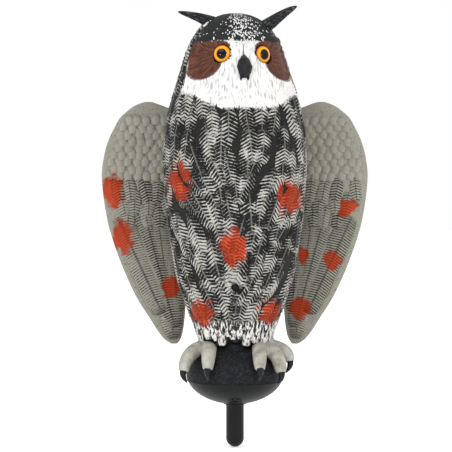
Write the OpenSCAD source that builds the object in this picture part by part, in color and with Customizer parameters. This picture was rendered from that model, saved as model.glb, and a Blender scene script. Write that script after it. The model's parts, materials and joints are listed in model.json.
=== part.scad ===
// Horned owl decoy with two motor-driven flapping wings. It grips a round
// perch whose stub drops into the top of a pole.
//
// Millimetres. +Z is up and the owl looks towards -Y. The origin is on the
// stub's axis, at the flat seat where the stub meets the perch. Right and left
// are the owl's own, so the right wing is at -X.

/* [Perch] */
// Diameter of the stub that drops into the pole
stub_d = 20.6; // [19:0.2:22]
// Straight length of the stub, above its round end
stub_length = 39.4; // [34:0.2:44]
// Radius of the perch at its widest
perch_r = 57; // [56:0.5:58]

/* [Shells] */
// Wall of the moulded body shells and the perch
wall = 3; // [2.6:0.1:3.2]
// Angle that the head looks away from straight ahead
head_turn = 10; // [8:0.5:11]
// Diameter of an eye
eye_d = 21; // [20:0.5:21.5]

/* [Wings] */
// Height of the two wing shafts
shoulder_z = 319; // [317:0.5:321]
// How far each wing swings outwards
flap_deg = 35; // [20:1:35]
// Greatest thickness of a wing panel
wing_t = 7; // [6:0.5:7.5]
// How far the wing panel leans forward for each millimetre outwards
wing_lean = 0.2; // [0.18:0.01:0.21]

/* [Drive] */
// Radius of a wing shaft
shaft_r = 4; // [3.9:0.1:4.1]

/* [Battery bay] */
// Diameter of one battery cell
cell_d = 14.2; // [14:0.1:14.5]
// Length of one battery cell
cell_length = 50; // [49.5:0.5:50.5]

/* [Hidden] */

$fn = 48;
fit = 0.05;            // running clearance on a radius
gap = 0.3;             // clearance between parts that only pass each other
gear_module = 1.5;
sector_teeth = 66;     // teeth that a whole sector gear would have
pinion_teeth = 12;
stub_r = stub_d / 2;
eye_r = eye_d / 2;
cell_r = cell_d / 2;

// --- Body outline ----------------------------------------------------------
// Each row is height, half width, depth in front and depth behind.
BODY = [
    [72, 44, 35, 32], [88, 48.5, 43, 36], [116, 58.5, 53, 42],
    [152, 70, 64, 49], [196, 77, 72, 56], [240, 82, 78, 61],
    [285, 84, 79, 64], [325, 81, 74, 65], [352, 75, 65, 62],
    [380, 64, 56, 58], [406, 56, 50, 54], [426, 46, 42, 45],
    [440, 35, 32, 34], [448, 21, 19, 20], [451, 8, 8, 8],
];
BODY_STEPS = 2;        // rings between two rows of the outline
BODY_SIDES = 40;

// Value of column k of a table at row position t, on a smooth curve
function row(table, i) = table[max(0, min(len(table) - 1, i))];
function smooth(table, k, t) =
    let (i = min(floor(t), len(table) - 2), f = t - i,
         a = row(table, i - 1)[k], b = table[i][k],
         c = table[i + 1][k], d = row(table, i + 2)[k])
    b + f * (c - a) / 2 + f * f * (a - 2.5 * b + 2 * c - d / 2)
    + f * f * f * (1.5 * (b - c) + (d - a) / 2);

function body_z(t, inset) =
    let (top = BODY[len(BODY) - 1][0], foot = BODY[0][0])
    foot + (smooth(BODY, 0, t) - foot) * (1 - inset / (top - foot));

// One ring of the body from angle a1 to a2, moved inwards by inset
function body_ring(t, inset, a1, a2, sides) =
    let (w = smooth(BODY, 1, t) - inset, f = smooth(BODY, 2, t) - inset,
         b = smooth(BODY, 3, t) - inset, z = body_z(t, inset))
    [for (i = [0 : sides])
        let (a = a1 + (a2 - a1) * i / sides)
        [w * cos(a), (sin(a) < 0 ? f : b) * sin(a), z]];

body_rows = [for (i = [0 : (len(BODY) - 1) * BODY_STEPS]) i / BODY_STEPS];

// Closed solid through rings that have the same number of points. The points
// of a ring run anticlockwise, seen from the side that the rings advance to.
module loft(rings) {
    n = len(rings[0]);
    m = len(rings);
    sides = [for (r = [0 : m - 2], i = [0 : n - 1])
        let (a = r * n + i, b = r * n + (i + 1) % n, c = a + n, d = b + n)
        each [[a, c, d], [a, d, b]]];
    first = [for (i = [0 : n - 1]) i];
    last = [for (i = [n - 1 : -1 : 0]) (m - 1) * n + i];
    polyhedron([for (ring = rings) each ring], concat([first, last], sides), convexity = 6);
}

module front_half() {
    loft([for (t = body_rows) body_ring(t, 0, 180, 360, BODY_SIDES / 2)]);
}

module back_half() {
    loft([for (t = body_rows) body_ring(t, 0, 0, 180, BODY_SIDES / 2)]);
}

// The room inside the shells, which also runs out through the open foot
module body_room() {
    last = 360 - 360 / BODY_SIDES;
    foot = body_ring(0, wall, 0, last, BODY_SIDES - 1);
    loft(concat([[for (p = foot) p - [0, 0, 4]]],
        [for (t = body_rows) body_ring(t, wall, 0, last, BODY_SIDES - 1)]));
}

// --- Round bars along a path -------------------------------------------------
function unit(v) = v / norm(v);
function heading(path, i) = unit(row(path, i + 1) - row(path, i - 1));

// Round bar through the points of a path. across is any direction that the
// path never runs along.
module bar(path, radii, across, sides = 10) {
    loft([for (i = [0 : len(path) - 1])
        let (t = heading(path, i), u = unit(cross(across, t)), v = cross(t, u))
        [for (k = [0 : sides - 1])
            let (a = 360 * k / sides)
            path[i] + radii[i] * (cos(a) * u + sin(a) * v)]]);
}

// Points of a path made smooth, with steps points in each of its spans
function eased(path, steps) =
    [for (i = [0 : (len(path) - 1) * steps])
        [for (k = [0 : 2]) smooth(path, k, i / steps)]];

module wire(path, r) {
    points = eased(path, 3);
    bar(points, [for (p = points) r], [0.3, 0.2, 1], 8);
}

// --- Small helpers -----------------------------------------------------------
// Cylinder along +Y from y1 to y2
module rod(x, z, r, y1, y2) {
    translate([x, y1, z]) rotate([-90, 0, 0]) cylinder(r = r, h = y2 - y1);
}

// Box from its lowest to its highest corner
module block(low, high) {
    translate(low) cube(high - low);
}

module mirrored(side) {
    if (side < 0) children();
    else mirror([1, 0, 0]) children();
}

// Screw along +Y, with its head's underside at y. Its size is its length,
// radius, head radius and head height.
module screw(x, z, y, size) {
    rod(x, z, size[1], y, y + size[0]);
    rod(x, z, size[2], y - size[3], y);
}

// --- Eyes --------------------------------------------------------------------
EYE_Z = 399;
EYE_SPREAD = 27;       // angle of an eye from the middle of the face
EYE_FLOOR = 43.5;      // distance of the socket's floor from the head's axis
IRIS_T = 1;
LENS_RIM = 4.5;        // straight side of the lens
LENS_DOME = 4.5;       // how far the lens bulges beyond its side
EYE_PAD_T = 3;         // wall of the socket round the lens
EYE_PEG_R = 2.5;       // hole behind a lens, to press it out
EYE_PEG_L = 8;

// Puts children, whose +Z points out of the eye, in the socket at side
module at_eye(side) {
    turn = head_turn + side * EYE_SPREAD;
    translate([0, 0, EYE_Z]) rotate([0, 0, turn]) rotate([90, 0, 0])
        translate([0, 0, EYE_FLOOR]) children();
}

module eye_pad(side) {
    at_eye(side) translate([0, 0, -EYE_PAD_T - 2])
        cylinder(r = eye_r + EYE_PAD_T, h = EYE_PAD_T + 11);
}

module eye_bore(side) {
    at_eye(side) cylinder(r = eye_r + fit, h = 20);
    at_eye(side) translate([0, 0, -EYE_PEG_L]) cylinder(r = EYE_PEG_R, h = EYE_PEG_L + 1);
}

module eye_lens(side) {
    dome_r = (eye_r * eye_r + LENS_DOME * LENS_DOME) / (2 * LENS_DOME);
    color("orange", 0.5) at_eye(side) translate([0, 0, IRIS_T]) {
        cylinder(r = eye_r, h = LENS_RIM);
        translate([0, 0, LENS_RIM]) intersection() {
            translate([0, 0, LENS_DOME - dome_r]) sphere(r = dome_r);
            cylinder(r = eye_r, h = LENS_DOME + 1);
        }
    }
}

module iris_disc(side) {
    color("gold") at_eye(side) cylinder(r = eye_r - 0.1, h = IRIS_T);
}

// --- Ear tufts ---------------------------------------------------------------
TUFT_PLUG_R = 4;
TUFT_PLUG_Z = 434;     // lower end of the plug, inside the head
TUFT_PLUG_H = 12.5;
TUFT_Y = -9;
RIGHT_TUFT = [
    [-20, -9, 441], [-27, -10, 442], [-38, -12, 444.5], [-49, -14, 448], [-66, -15, 452],
];
LEFT_TUFT = [
    [27, -9, 440], [37, -10, 441], [50, -12, 446.5], [61, -13.5, 452.5], [71.5, -14.5, 458.5],
];
TUFT_R = [5, 7, 5.4, 3.8, 0.8];

function tuft_plug_x(side) = side < 0 ? -24 : 30;

module ear_tuft(side) {
    path = eased(side < 0 ? RIGHT_TUFT : LEFT_TUFT, 2);
    radii = [for (i = [0 : len(path) - 1]) smooth([for (r = TUFT_R) [r]], 0, i / 2)];
    color("dimgray") {
        difference() {
            bar(path, radii, [0, 1, 0], 12);
            crown_cap();
        }
        translate([tuft_plug_x(side), TUFT_Y, TUFT_PLUG_Z])
            cylinder(r = TUFT_PLUG_R, h = TUFT_PLUG_H);
    }
}

// The head from above the eyes up, a little proud, to seat the tufts on
module crown_cap() {
    first = len(BODY) - 5;
    rows = [for (i = [first * BODY_STEPS : (len(BODY) - 1) * BODY_STEPS]) i / BODY_STEPS];
    loft([for (t = rows) body_ring(t, -0.15, 0, 360 - 360 / BODY_SIDES, BODY_SIDES - 1)]);
}

// --- Screws that close the shells -------------------------------------------
SHELL_SCREWS = [[68, 262], [42, 372], [44, 112]];   // x and z, on both sides
SHELL_POST_R = 5.5;
SHELL_HEAD_DEPTH = 15;  // from the seam to the underside of a screw's head
SHELL_SCREW = [26, 1.7, 3.4, 2.2];
BELLY_SCREW = [70, 2, 3.9, 2.6];
ANKLE_SCREW = [9, 1.7, 3.3, 2];
BELLY_Z = 136.5;
BELLY_POST_R = 7.5;
BELLY_HEAD_Y = -46;
ANKLE_Z = 77;
ANKLE_FRONT_Y = -33.5; // underside of the front ankle screw's head
ANKLE_BACK_Y = 30;
PILOT = 0.05;          // a screw's hole is wider than the screw by this radius

module screw_posts(y1, y2) {
    for (s = [-1, 1], p = SHELL_SCREWS) rod(s * p[0], p[1], SHELL_POST_R, y1, y2);
    rod(0, BELLY_Z, BELLY_POST_R, y1, y2);
}

module shell_screws() {
    color("silver") for (s = [-1, 1], p = SHELL_SCREWS)
        translate([s * p[0], SHELL_HEAD_DEPTH, p[1]]) rotate([0, 0, 180])
            screw(0, 0, 0, SHELL_SCREW);
}

module belly_screw() {
    color("silver") screw(0, BELLY_Z, BELLY_HEAD_Y, BELLY_SCREW);
}

// Two screws hold the shells to the perch's plug, one in front and one behind
module ankle_screws() {
    color("silver") {
        screw(0, ANKLE_Z, ANKLE_FRONT_Y, ANKLE_SCREW);
        rotate([0, 0, 180]) screw(0, ANKLE_Z, -ANKLE_BACK_Y, ANKLE_SCREW);
    }
}

module ankle_holes() {
    rod(0, ANKLE_Z, ANKLE_SCREW[1] + PILOT, -50, 50);
    rod(0, ANKLE_Z, ANKLE_SCREW[2] + 2 * PILOT, -50, ANKLE_FRONT_Y);
    rod(0, ANKLE_Z, ANKLE_SCREW[2] + 2 * PILOT, ANKLE_BACK_Y, 50);
}

// --- Front shell -------------------------------------------------------------
BEAK = [[0, -43, 396], [0, -53, 393], [0, -59, 385], [0, -61, 377], [0, -59, 369]];
BEAK_R = [4, 7, 7.5, 5, 1.5];

module body_front_shell() {
    color("lightgray") difference() {
        front_half();
        difference() {
            body_room();
            screw_posts(-90, 0.5);
            for (s = [-1, 1]) eye_pad(s);
        }
        for (s = [-1, 1]) eye_bore(s);
        for (s = [-1, 1]) translate([tuft_plug_x(s), TUFT_Y, 425])
            cylinder(r = TUFT_PLUG_R + fit, h = 40);
        for (s = [-1, 1], p = SHELL_SCREWS) rod(s * p[0], p[1], SHELL_SCREW[1] + PILOT, -14, 1);
        rod(0, BELLY_Z, 2.1, -60, 1);
        rod(0, BELLY_Z, 4.5, -90, BELLY_HEAD_Y);
        ankle_holes();
    }
}

// The beak is bonded to the face
module beak() {
    color("black") difference() {
        rotate([0, 0, head_turn]) bar(BEAK, BEAK_R, [1, 0, 0], 12);
        front_half();
    }
}

// --- Battery bay and hatch ---------------------------------------------------
BAY_W = 33;            // half width of the battery box
BAY_Z1 = 173;
BAY_Z2 = 237;
BAY_BACK = 60;         // open back of the battery box
BOX_FLANGE_Y = 40;
BOX_FLANGE_W = 5;      // width of the flange round the battery box
FRAME_FRONT = 42;      // the hatch frame fills the shell's opening from here
HATCH_FACE = 64;       // flat back of the hatch frame
HATCH_W = 39;
FRAME_Z1 = 160;
FRAME_Z2 = 258;
DOOR_Z1 = 167;
DOOR_Z2 = 244;
DOOR_T = 3;
HINGE_Y = 67;
HINGE_Z = 163;
HINGE_R = 2.7;
HINGE_PIN_R = 1.5;
LATCH_Z = 251;
LATCH_Y = 68;          // underside of the latch
LATCH_T = 3;
LATCH_W = 8;           // half length of the latch between its round ends
LATCH_R = 4;
LATCH_SHOULDER_R = 1.8;
HATCH_SCREWS = [[35.5, 163.5], [35.5, 250]];   // x and z, on both sides
HATCH_HEAD_Y = 61.8;   // underside of the sunk heads
HATCH_SCREW = [24, 1.5, 3, 2];
KNUCKLE_W = 17;        // half width of the hinge's middle knuckle
DOOR_KNUCKLE_W = 12.5; // width of each knuckle of the door

module hatch_frame() {
    color("dimgray") difference() {
        union() {
            block([-HATCH_W, FRAME_FRONT, FRAME_Z1], [HATCH_W, HATCH_FACE - 1, FRAME_Z2]);
            block([-HATCH_W + 1, HATCH_FACE - 2, FRAME_Z1 + 1], [HATCH_W - 1, HATCH_FACE, FRAME_Z2 - 1]);
            rod(0, LATCH_Z, 6, HATCH_FACE - 6, LATCH_Y);
            // the hinge's middle knuckle, on its web
            translate([-KNUCKLE_W, HINGE_Y, HINGE_Z]) rotate([0, 90, 0])
                cylinder(r = HINGE_R, h = 2 * KNUCKLE_W);
            block([-KNUCKLE_W, HATCH_FACE - 2, HINGE_Z - 3], [KNUCKLE_W, HINGE_Y - 0.5, HINGE_Z + 1]);
        }
        block([-BAY_W - gap, 30, BAY_Z1 - gap], [BAY_W + gap, 80, BAY_Z2 + gap]);
        block([-BAY_W + 4, 30, BAY_Z2 + 4], [BAY_W - 4, HATCH_FACE - wall - 4, FRAME_Z2 - wall]);
        hinge_bore(HINGE_PIN_R + 0.02);
        rod(0, LATCH_Z, 1.3, 50, 80);
        for (s = [-1, 1], p = HATCH_SCREWS) {
            rod(s * p[0], p[1], 1.6, 30, 80);
            rod(s * p[0], p[1], 3.1, HATCH_HEAD_Y, 80);
        }
    }
}

module hatch_screws() {
    color("silver") for (s = [-1, 1], p = HATCH_SCREWS)
        translate([s * p[0], HATCH_HEAD_Y, p[1]]) rotate([0, 0, 180]) screw(0, 0, 0, HATCH_SCREW);
}

// Two ribs across the back shell that the hatch frame is screwed to
module hatch_ribs() {
    block([-70, 36, FRAME_Z1 - 4], [70, FRAME_FRONT, BAY_Z1 - 5.5]);
    block([-70, 36, BAY_Z2 + 5.5], [70, FRAME_FRONT, FRAME_Z2 + 2]);
}

module hinge_bore(r) {
    translate([-40, HINGE_Y, HINGE_Z]) rotate([0, 90, 0]) cylinder(r = r, h = 80);
}

module door_hinge_pin() {
    color("silver") translate([-31, HINGE_Y, HINGE_Z]) rotate([0, 90, 0])
        cylinder(r = HINGE_PIN_R, h = 62);
}

module battery_door() {
    color("dimgray") difference() {
        union() {
            block([-HATCH_W, HATCH_FACE + 1, DOOR_Z1 + 0.5], [HATCH_W, HATCH_FACE + 1 + DOOR_T, DOOR_Z2]);
            for (x = [-KNUCKLE_W - 0.5 - DOOR_KNUCKLE_W, KNUCKLE_W + 0.5]) {
                translate([x, HINGE_Y, HINGE_Z]) rotate([0, 90, 0]) cylinder(r = HINGE_R, h = DOOR_KNUCKLE_W);
                block([x, HATCH_FACE + 1.5, HINGE_Z],
                    [x + DOOR_KNUCKLE_W, HATCH_FACE + 1 + DOOR_T, DOOR_Z1 + 1]);
            }
        }
        hinge_bore(HINGE_PIN_R + fit);
    }
}

module door_gasket() {
    color("black") difference() {
        block([-HATCH_W + 1, HATCH_FACE, DOOR_Z1 + 1.5], [HATCH_W - 1, HATCH_FACE + 0.9, DOOR_Z2 - 1]);
        block([-BAY_W - gap, 50, BAY_Z1 - gap], [BAY_W + gap, 80, BAY_Z2 + gap]);
    }
}

// Turn button, shown turned clear of the door
module door_latch() {
    color("silver") difference() {
        union() {
            block([-LATCH_W, LATCH_Y + gap, LATCH_Z - LATCH_R],
                [LATCH_W, LATCH_Y + gap + LATCH_T, LATCH_Z + LATCH_R]);
            for (s = [-1, 1]) rod(s * LATCH_W, LATCH_Z, LATCH_R, LATCH_Y + gap, LATCH_Y + gap + LATCH_T);
        }
        rod(0, LATCH_Z, LATCH_SHOULDER_R + fit, LATCH_Y - 5, LATCH_Y + 10);
    }
}

// A shoulder screw, on whose shoulder the latch turns
module latch_screw() {
    top = LATCH_Y + LATCH_T + 0.6;
    color("silver") {
        rod(0, LATCH_Z, 1.25, LATCH_Y - 10, LATCH_Y);
        rod(0, LATCH_Z, LATCH_SHOULDER_R, LATCH_Y, top);
        rod(0, LATCH_Z, 3.4, top, top + 1.6);
    }
}

module battery_box() {
    color("black") difference() {
        union() {
            block([-BAY_W, BOX_FLANGE_Y, BAY_Z1], [BAY_W, BAY_BACK, BAY_Z2]);
            block([-BAY_W - BOX_FLANGE_W, BOX_FLANGE_Y, BAY_Z1 - BOX_FLANGE_W],
                [BAY_W + BOX_FLANGE_W, FRAME_FRONT, BAY_Z2 + BOX_FLANGE_W]);
            for (x = [-BOARD_PEG_X, BOARD_PEG_X], z = BOARD_PEG_Z)
                rod(x, z, BOARD_PEG_R, BOARD_Y + BOARD_T, BOX_FLANGE_Y + 1);
        }
        block([-BAY_W + BOX_FLOOR, 44, BAY_Z1 + BOX_FLOOR], [BAY_W - BOX_FLOOR, 70, BAY_Z2 - BOX_FLOOR]);
    }
}

CELL_PITCH = 15.4;
CELL_Y = 52;
CELL_Z = 181;          // flat lower end of the cells
CELL_CAP_H = 1;        // raised terminal at a cell's top

module battery_cells() {
    color("goldenrod") for (i = [0 : 3]) translate([(i - 1.5) * CELL_PITCH, CELL_Y, CELL_Z]) {
        cylinder(r = cell_r, h = cell_length - CELL_CAP_H);
        translate([0, 0, cell_length - CELL_CAP_H]) cylinder(r = 2.7, h = CELL_CAP_H);
    }
}

// A spring under each cell and a plate over it
CONTACT_W = 5.5;       // half width of a contact plate
CONTACT_T = 0.6;
BOX_FLOOR = 2;         // wall of the battery box

module battery_contacts() {
    spring_z = BAY_Z1 + BOX_FLOOR + CONTACT_T;
    color("silver") for (i = [0 : 3]) translate([(i - 1.5) * CELL_PITCH, CELL_Y, 0]) {
        block([-CONTACT_W, -CONTACT_W, BAY_Z1 + BOX_FLOOR], [CONTACT_W, CONTACT_W, spring_z]);
        translate([0, 0, spring_z]) cylinder(r1 = 4.5, r2 = 3, h = CELL_Z - spring_z);
        block([-CONTACT_W, -CONTACT_W, CELL_Z + cell_length], [CONTACT_W, CONTACT_W, BAY_Z2 - BOX_FLOOR]);
    }
}

BOARD_Y = 32;
BOARD_T = 1.6;
BOARD_W = 26;
BOARD_Z1 = 184;
BOARD_Z2 = 226;
BOARD_PEG_X = 21;      // four pegs of the battery box carry the board
BOARD_PEG_Z = [188, 222];
BOARD_PEG_R = 2.5;
// Lowest x and z, highest x and z, and height of the parts on the board
BOARD_PARTS = [[-8, 198, 8, 212, 2.5], [-20, 186, -12, 194, 7], [8, 216, 20, 224, 7]];
CAPACITOR = [18, 205, 4, 11];   // x, z, radius and height

module control_board() {
    color("green") block([-BOARD_W, BOARD_Y, BOARD_Z1], [BOARD_W, BOARD_Y + BOARD_T, BOARD_Z2]);
    color("black") {
        for (p = BOARD_PARTS) block([p[0], BOARD_Y - p[4], p[1]], [p[2], BOARD_Y, p[3]]);
        rod(CAPACITOR[0], CAPACITOR[1], CAPACITOR[2], BOARD_Y - CAPACITOR[3], BOARD_Y);
    }
}

// --- Power button ------------------------------------------------------------
BUTTON_Z = 276;
BUTTON_R = 6;
BUTTON_BACK = 67;      // face that is pressed
STEM_R = 3;
SWITCH_BACK = 57;      // face that the button's stem enters
SWITCH_FRONT = 46;
SWITCH_W = 8;          // half width of the switch
POCKET_W = 8.2;        // half width of its pocket
SOCKET_W = 10.5;       // half width of the block round the pocket

module power_button() {
    color("red") {
        rod(0, BUTTON_Z, BUTTON_R, SWITCH_BACK + 2.6, BUTTON_BACK);
        rod(0, BUTTON_Z, STEM_R, 51.5, SWITCH_BACK + 3);
    }
}

module power_switch() {
    color("black") difference() {
        block([-SWITCH_W, SWITCH_FRONT, BUTTON_Z - SWITCH_W], [SWITCH_W, SWITCH_BACK, BUTTON_Z + SWITCH_W]);
        rod(0, BUTTON_Z, STEM_R + fit, SWITCH_FRONT + 2, 60);
    }
}

module switch_socket() {
    difference() {
        block([-SOCKET_W, 51, BUTTON_Z - SOCKET_W], [SOCKET_W, 61.5, BUTTON_Z + SOCKET_W]);
        block([-POCKET_W, 50, BUTTON_Z - POCKET_W], [POCKET_W, SWITCH_BACK, BUTTON_Z + POCKET_W]);
    }
}

// --- Back shell --------------------------------------------------------------
TAIL = [[0, 38, 150], [0, 50, 128], [0, 58, 104], [0, 64, 80], [0, 68, 58]];
TAIL_W = [30, 34, 34, 31, 24];   // half width at each point
TAIL_T = [6, 8, 8, 7, 4];        // half thickness at each point
BOSS_FACE = 55;        // back of the boss that a wing shaft leaves through
WING_BOSS_R = 16.5;    // boss inside the shell
BOSS_NOSE_R = 13.5;    // its nose, outside the shell
BOSS_Y = 44;           // front of the boss
SEAL_R = 8;
SEAL_Y = 50;           // front of the shaft's seal
PLATE_POST_R = 5;

// The tail is bonded to the back of the shell and reaches down behind the perch
module tail_fan() {
    color("gray") difference() {
        loft([for (i = [len(TAIL) - 1 : -1 : 0])
            [for (k = [0 : 15])
                let (a = 360 * k / 16)
                TAIL[i] + [TAIL_W[i] * cos(a), TAIL_T[i] * sin(a), TAIL_T[i] * sin(a) * 0.35]]]);
        back_half();
    }
}

module body_back_shell() {
    color("gray") difference() {
        union() {
            difference() {
                back_half();
                difference() {
                    body_room();
                    screw_posts(-0.5, 90);
                    for (s = [-1, 1], p = PLATE_POSTS)
                        rod(s * p[0], p[1], PLATE_POST_R, PLATE_REAR_Y + PLATE_T, 90);
                    for (s = [-1, 1]) rod(s * shoulder_x, shoulder_z, WING_BOSS_R, BOSS_Y, 90);
                    switch_socket();
                    hatch_ribs();
                }
                block([-HATCH_W - 0.1, FRAME_FRONT, FRAME_Z1 - 0.1], [HATCH_W + 0.1, 90, FRAME_Z2 + 0.1]);
                block([-BAY_W - BOX_FLANGE_W - gap, 20, BAY_Z1 - BOX_FLANGE_W - gap],
                    [BAY_W + BOX_FLANGE_W + gap, 90, BAY_Z2 + BOX_FLANGE_W + gap]);
            }
            for (s = [-1, 1]) rod(s * shoulder_x, shoulder_z, BOSS_NOSE_R, BOSS_Y, BOSS_FACE);
        }
        for (s = [-1, 1]) {
            rod(s * shoulder_x, shoulder_z, 6, 40, 50);
            rod(s * shoulder_x, shoulder_z, SEAL_R + fit, SEAL_Y - 1, 70);
            rod(s * shoulder_x, shoulder_z, HUB_R + 1.5, BOSS_FACE, 90);
            for (p = PLATE_POSTS) rod(s * p[0], p[1], 1.55, PLATE_REAR_Y, PLATE_REAR_Y + 17);
            for (p = SHELL_SCREWS) {
                rod(s * p[0], p[1], SHELL_SCREW[1] + PILOT, -1, 30);
                rod(s * p[0], p[1], 3.8, SHELL_HEAD_DEPTH, 80);
            }
            for (p = HATCH_SCREWS) rod(s * p[0], p[1], 1.55, 30, 50);
        }
        rod(0, BELLY_Z, 2.02, -1, 25);
        rod(0, BUTTON_Z, BUTTON_R + gap, 55, 80);
        block([-POCKET_W, 40, BUTTON_Z - POCKET_W], [POCKET_W, SWITCH_BACK, BUTTON_Z + POCKET_W]);
        ankle_holes();
    }
}

// --- Perch -------------------------------------------------------------------
PERCH_Z = 36;          // height of the perch's widest ring
PERCH_H = 36;          // its half height
SEAM_Z = 28;           // the two perch mouldings meet here
PEDESTAL_Z = 58;
PEDESTAL_W = 0.36;     // width of the pedestal between the feet, to the body's
PLUG_TOP = 82;
BASE_SCREW_R = 34;     // pitch radius of the three base screws
BASE_POST_Z = 14;      // where the posts of base and top meet
BASE_SCREW_TURNS = [30, 150, 270];
BASE_HEAD_Z = 8;       // lower face of the heads, up inside the base
BASE_HEAD = [3.9, 2.5];   // radius and height of a head
BASE_SCREW = [1.9, 24];   // radius and length of a screw
SEAT_R = 13.6;         // flat ring round the stub, which rests on the pole

function oval(r, h, a1, a2, n) =
    [for (i = [0 : n]) let (a = a1 + (a2 - a1) * i / n) [r * cos(a), PERCH_Z + h * sin(a)]];

// Solid of revolution between the oval's angles a1 and a2, inset by t
module oval_solid(t, a1, a2) {
    points = oval(perch_r - t, PERCH_H - t, a1, a2, 12);
    rotate_extrude($fn = 72) polygon(concat([[0, points[0][1]]], points, [[0, points[12][1]]]));
}

function oval_angle(z, h) = asin((z - PERCH_Z) / h);

module at_base_screws() {
    for (a = BASE_SCREW_TURNS) rotate([0, 0, a]) translate([BASE_SCREW_R, 0, 0]) children();
}

module perch_base() {
    color("black") difference() {
        union() {
            difference() {
                oval_solid(0, -76, oval_angle(SEAM_Z, PERCH_H));
                difference() {
                    union() {
                        oval_solid(wall, -74, oval_angle(SEAM_Z - 1, PERCH_H - wall));
                        translate([0, 0, SEAM_Z - 3]) cylinder(r = perch_r - 5.9, h = 5);
                    }
                    at_base_screws() translate([0, 0, -1]) cylinder(r = 6, h = BASE_POST_Z + 1);
                }
            }
            cylinder(r = SEAT_R, h = 5);
            translate([0, 0, -stub_length]) {
                cylinder(r = stub_r, h = stub_length + 1);
                sphere(r = stub_r);
            }
        }
        translate([0, 0, -stub_length]) {
            cylinder(r = stub_r - wall, h = stub_length + 20);
            sphere(r = stub_r - wall);
        }
        at_base_screws() {
            translate([0, 0, -1]) cylinder(r = 2.1, h = 20);
            translate([0, 0, -1]) cylinder(r = 4.2, h = 11.5);
        }
    }
}

module base_screws() {
    color("silver") at_base_screws() {
        translate([0, 0, BASE_HEAD_Z]) cylinder(r = BASE_HEAD[0], h = BASE_HEAD[1]);
        translate([0, 0, BASE_HEAD_Z + BASE_HEAD[1]]) cylinder(r = BASE_SCREW[0], h = BASE_SCREW[1]);
    }
}

// Toes run from the ankle over the perch. Each is its path, ball of the foot first.
RIGHT_TOES = [
    [[-31, -8, 61], [-31, -26, 63], [-31, -41, 60], [-31, -51, 50], [-31, -55, 40]],
    [[-34, -6, 61], [-44, -20, 62], [-52, -31, 56], [-56, -36, 46], [-56, -37, 36]],
    [[-31, 6, 61], [-32, 24, 62], [-34, 37, 58], [-35, 46, 49], [-35, 48, 40]],
];
LEFT_TOES = [
    [[27, -8, 61], [27, -26, 63], [27, -42, 60], [27.5, -53, 50], [27.5, -57, 40]],
    [[34, -6, 61], [42, -24, 62], [49, -35, 56], [53, -41, 45], [52, -42, 35]],
    [[38, 0, 61], [47, -6, 62], [56, -11, 59], [61, -14, 51], [60, -15, 42]],
    [[31, 6, 61], [32, 24, 62], [34, 37, 58], [35, 46, 49], [35, 48, 40]],
];
TOE_R = [9, 8.5, 8, 6.5, 3.5];
RIGHT_ANKLE = [-31, -2, 0];
LEFT_ANKLE = [31, -2, 0];
ANKLE_LEVELS = [74, 66, 58];
ANKLE_R = [11, 10.5, 9];

// A foot stands on the perch, and the body's plug rests on its ankle
module foot(side) {
    ankle = side < 0 ? RIGHT_ANKLE : LEFT_ANKLE;
    color("lightgray") difference() {
        union() {
            for (toe = side < 0 ? RIGHT_TOES : LEFT_TOES) bar(toe, TOE_R, [1, 0.2, 0]);
            bar([for (z = ANKLE_LEVELS) ankle + [0, 0, z]], ANKLE_R, [1, 0.2, 0], 16);
        }
        oval_solid(0, oval_angle(SEAM_Z, PERCH_H), 89);
        oval_solid(0, -76, oval_angle(SEAM_Z, PERCH_H));
        block([-80, -80, BODY[0][0] - 1], [80, 80, 90]);
    }
}

module perch_top() {
    plug = [for (p = body_ring(0, wall + gap, 0, 360 - 360 / BODY_SIDES, BODY_SIDES - 1)) [p[0], p[1]]];
    collar = [for (p = body_ring(0, 0, 0, 360 - 360 / BODY_SIDES, BODY_SIDES - 1)) [p[0], p[1]]];
    room = [for (p = plug) [p[0] * 0.4, p[1] * 0.86]];
    color("darkgray") difference() {
        union() {
            difference() {
                union() {
                    oval_solid(0, oval_angle(SEAM_Z, PERCH_H), 89);
                    translate([0, 0, PEDESTAL_Z]) linear_extrude(BODY[0][0] - PEDESTAL_Z)
                        polygon([for (p = collar) [p[0] * PEDESTAL_W, p[1]]]);
                }
                difference() {
                    translate([0, 0, -1]) oval_solid(wall, oval_angle(SEAM_Z - 2, PERCH_H - wall), 89);
                    at_base_screws() translate([0, 0, BASE_POST_Z]) cylinder(r = 5, h = 60);
                }
            }
            at_base_screws() translate([0, 0, BASE_POST_Z]) cylinder(r = 5, h = SEAM_Z);
            difference() {
                union() {
                    translate([0, 0, SEAM_Z - 3.5]) cylinder(r = perch_r - 6.9, h = 6);
                    translate([0, 0, SEAM_Z]) cylinder(r = perch_r - 2, h = wall);
                }
                translate([0, 0, SEAM_Z - 4]) cylinder(r = perch_r - 9, h = 8);
            }
            translate([0, 0, BODY[0][0] - 1]) linear_extrude(PLUG_TOP - BODY[0][0] + 1) polygon(plug);
        }
        translate([0, 0, BODY[0][0] - 10]) linear_extrude(30) polygon(room);
        at_base_screws() translate([0, 0, BASE_POST_Z - 1]) cylinder(r = 1.95, h = 24);
        ankle_holes();
    }
}

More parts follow.
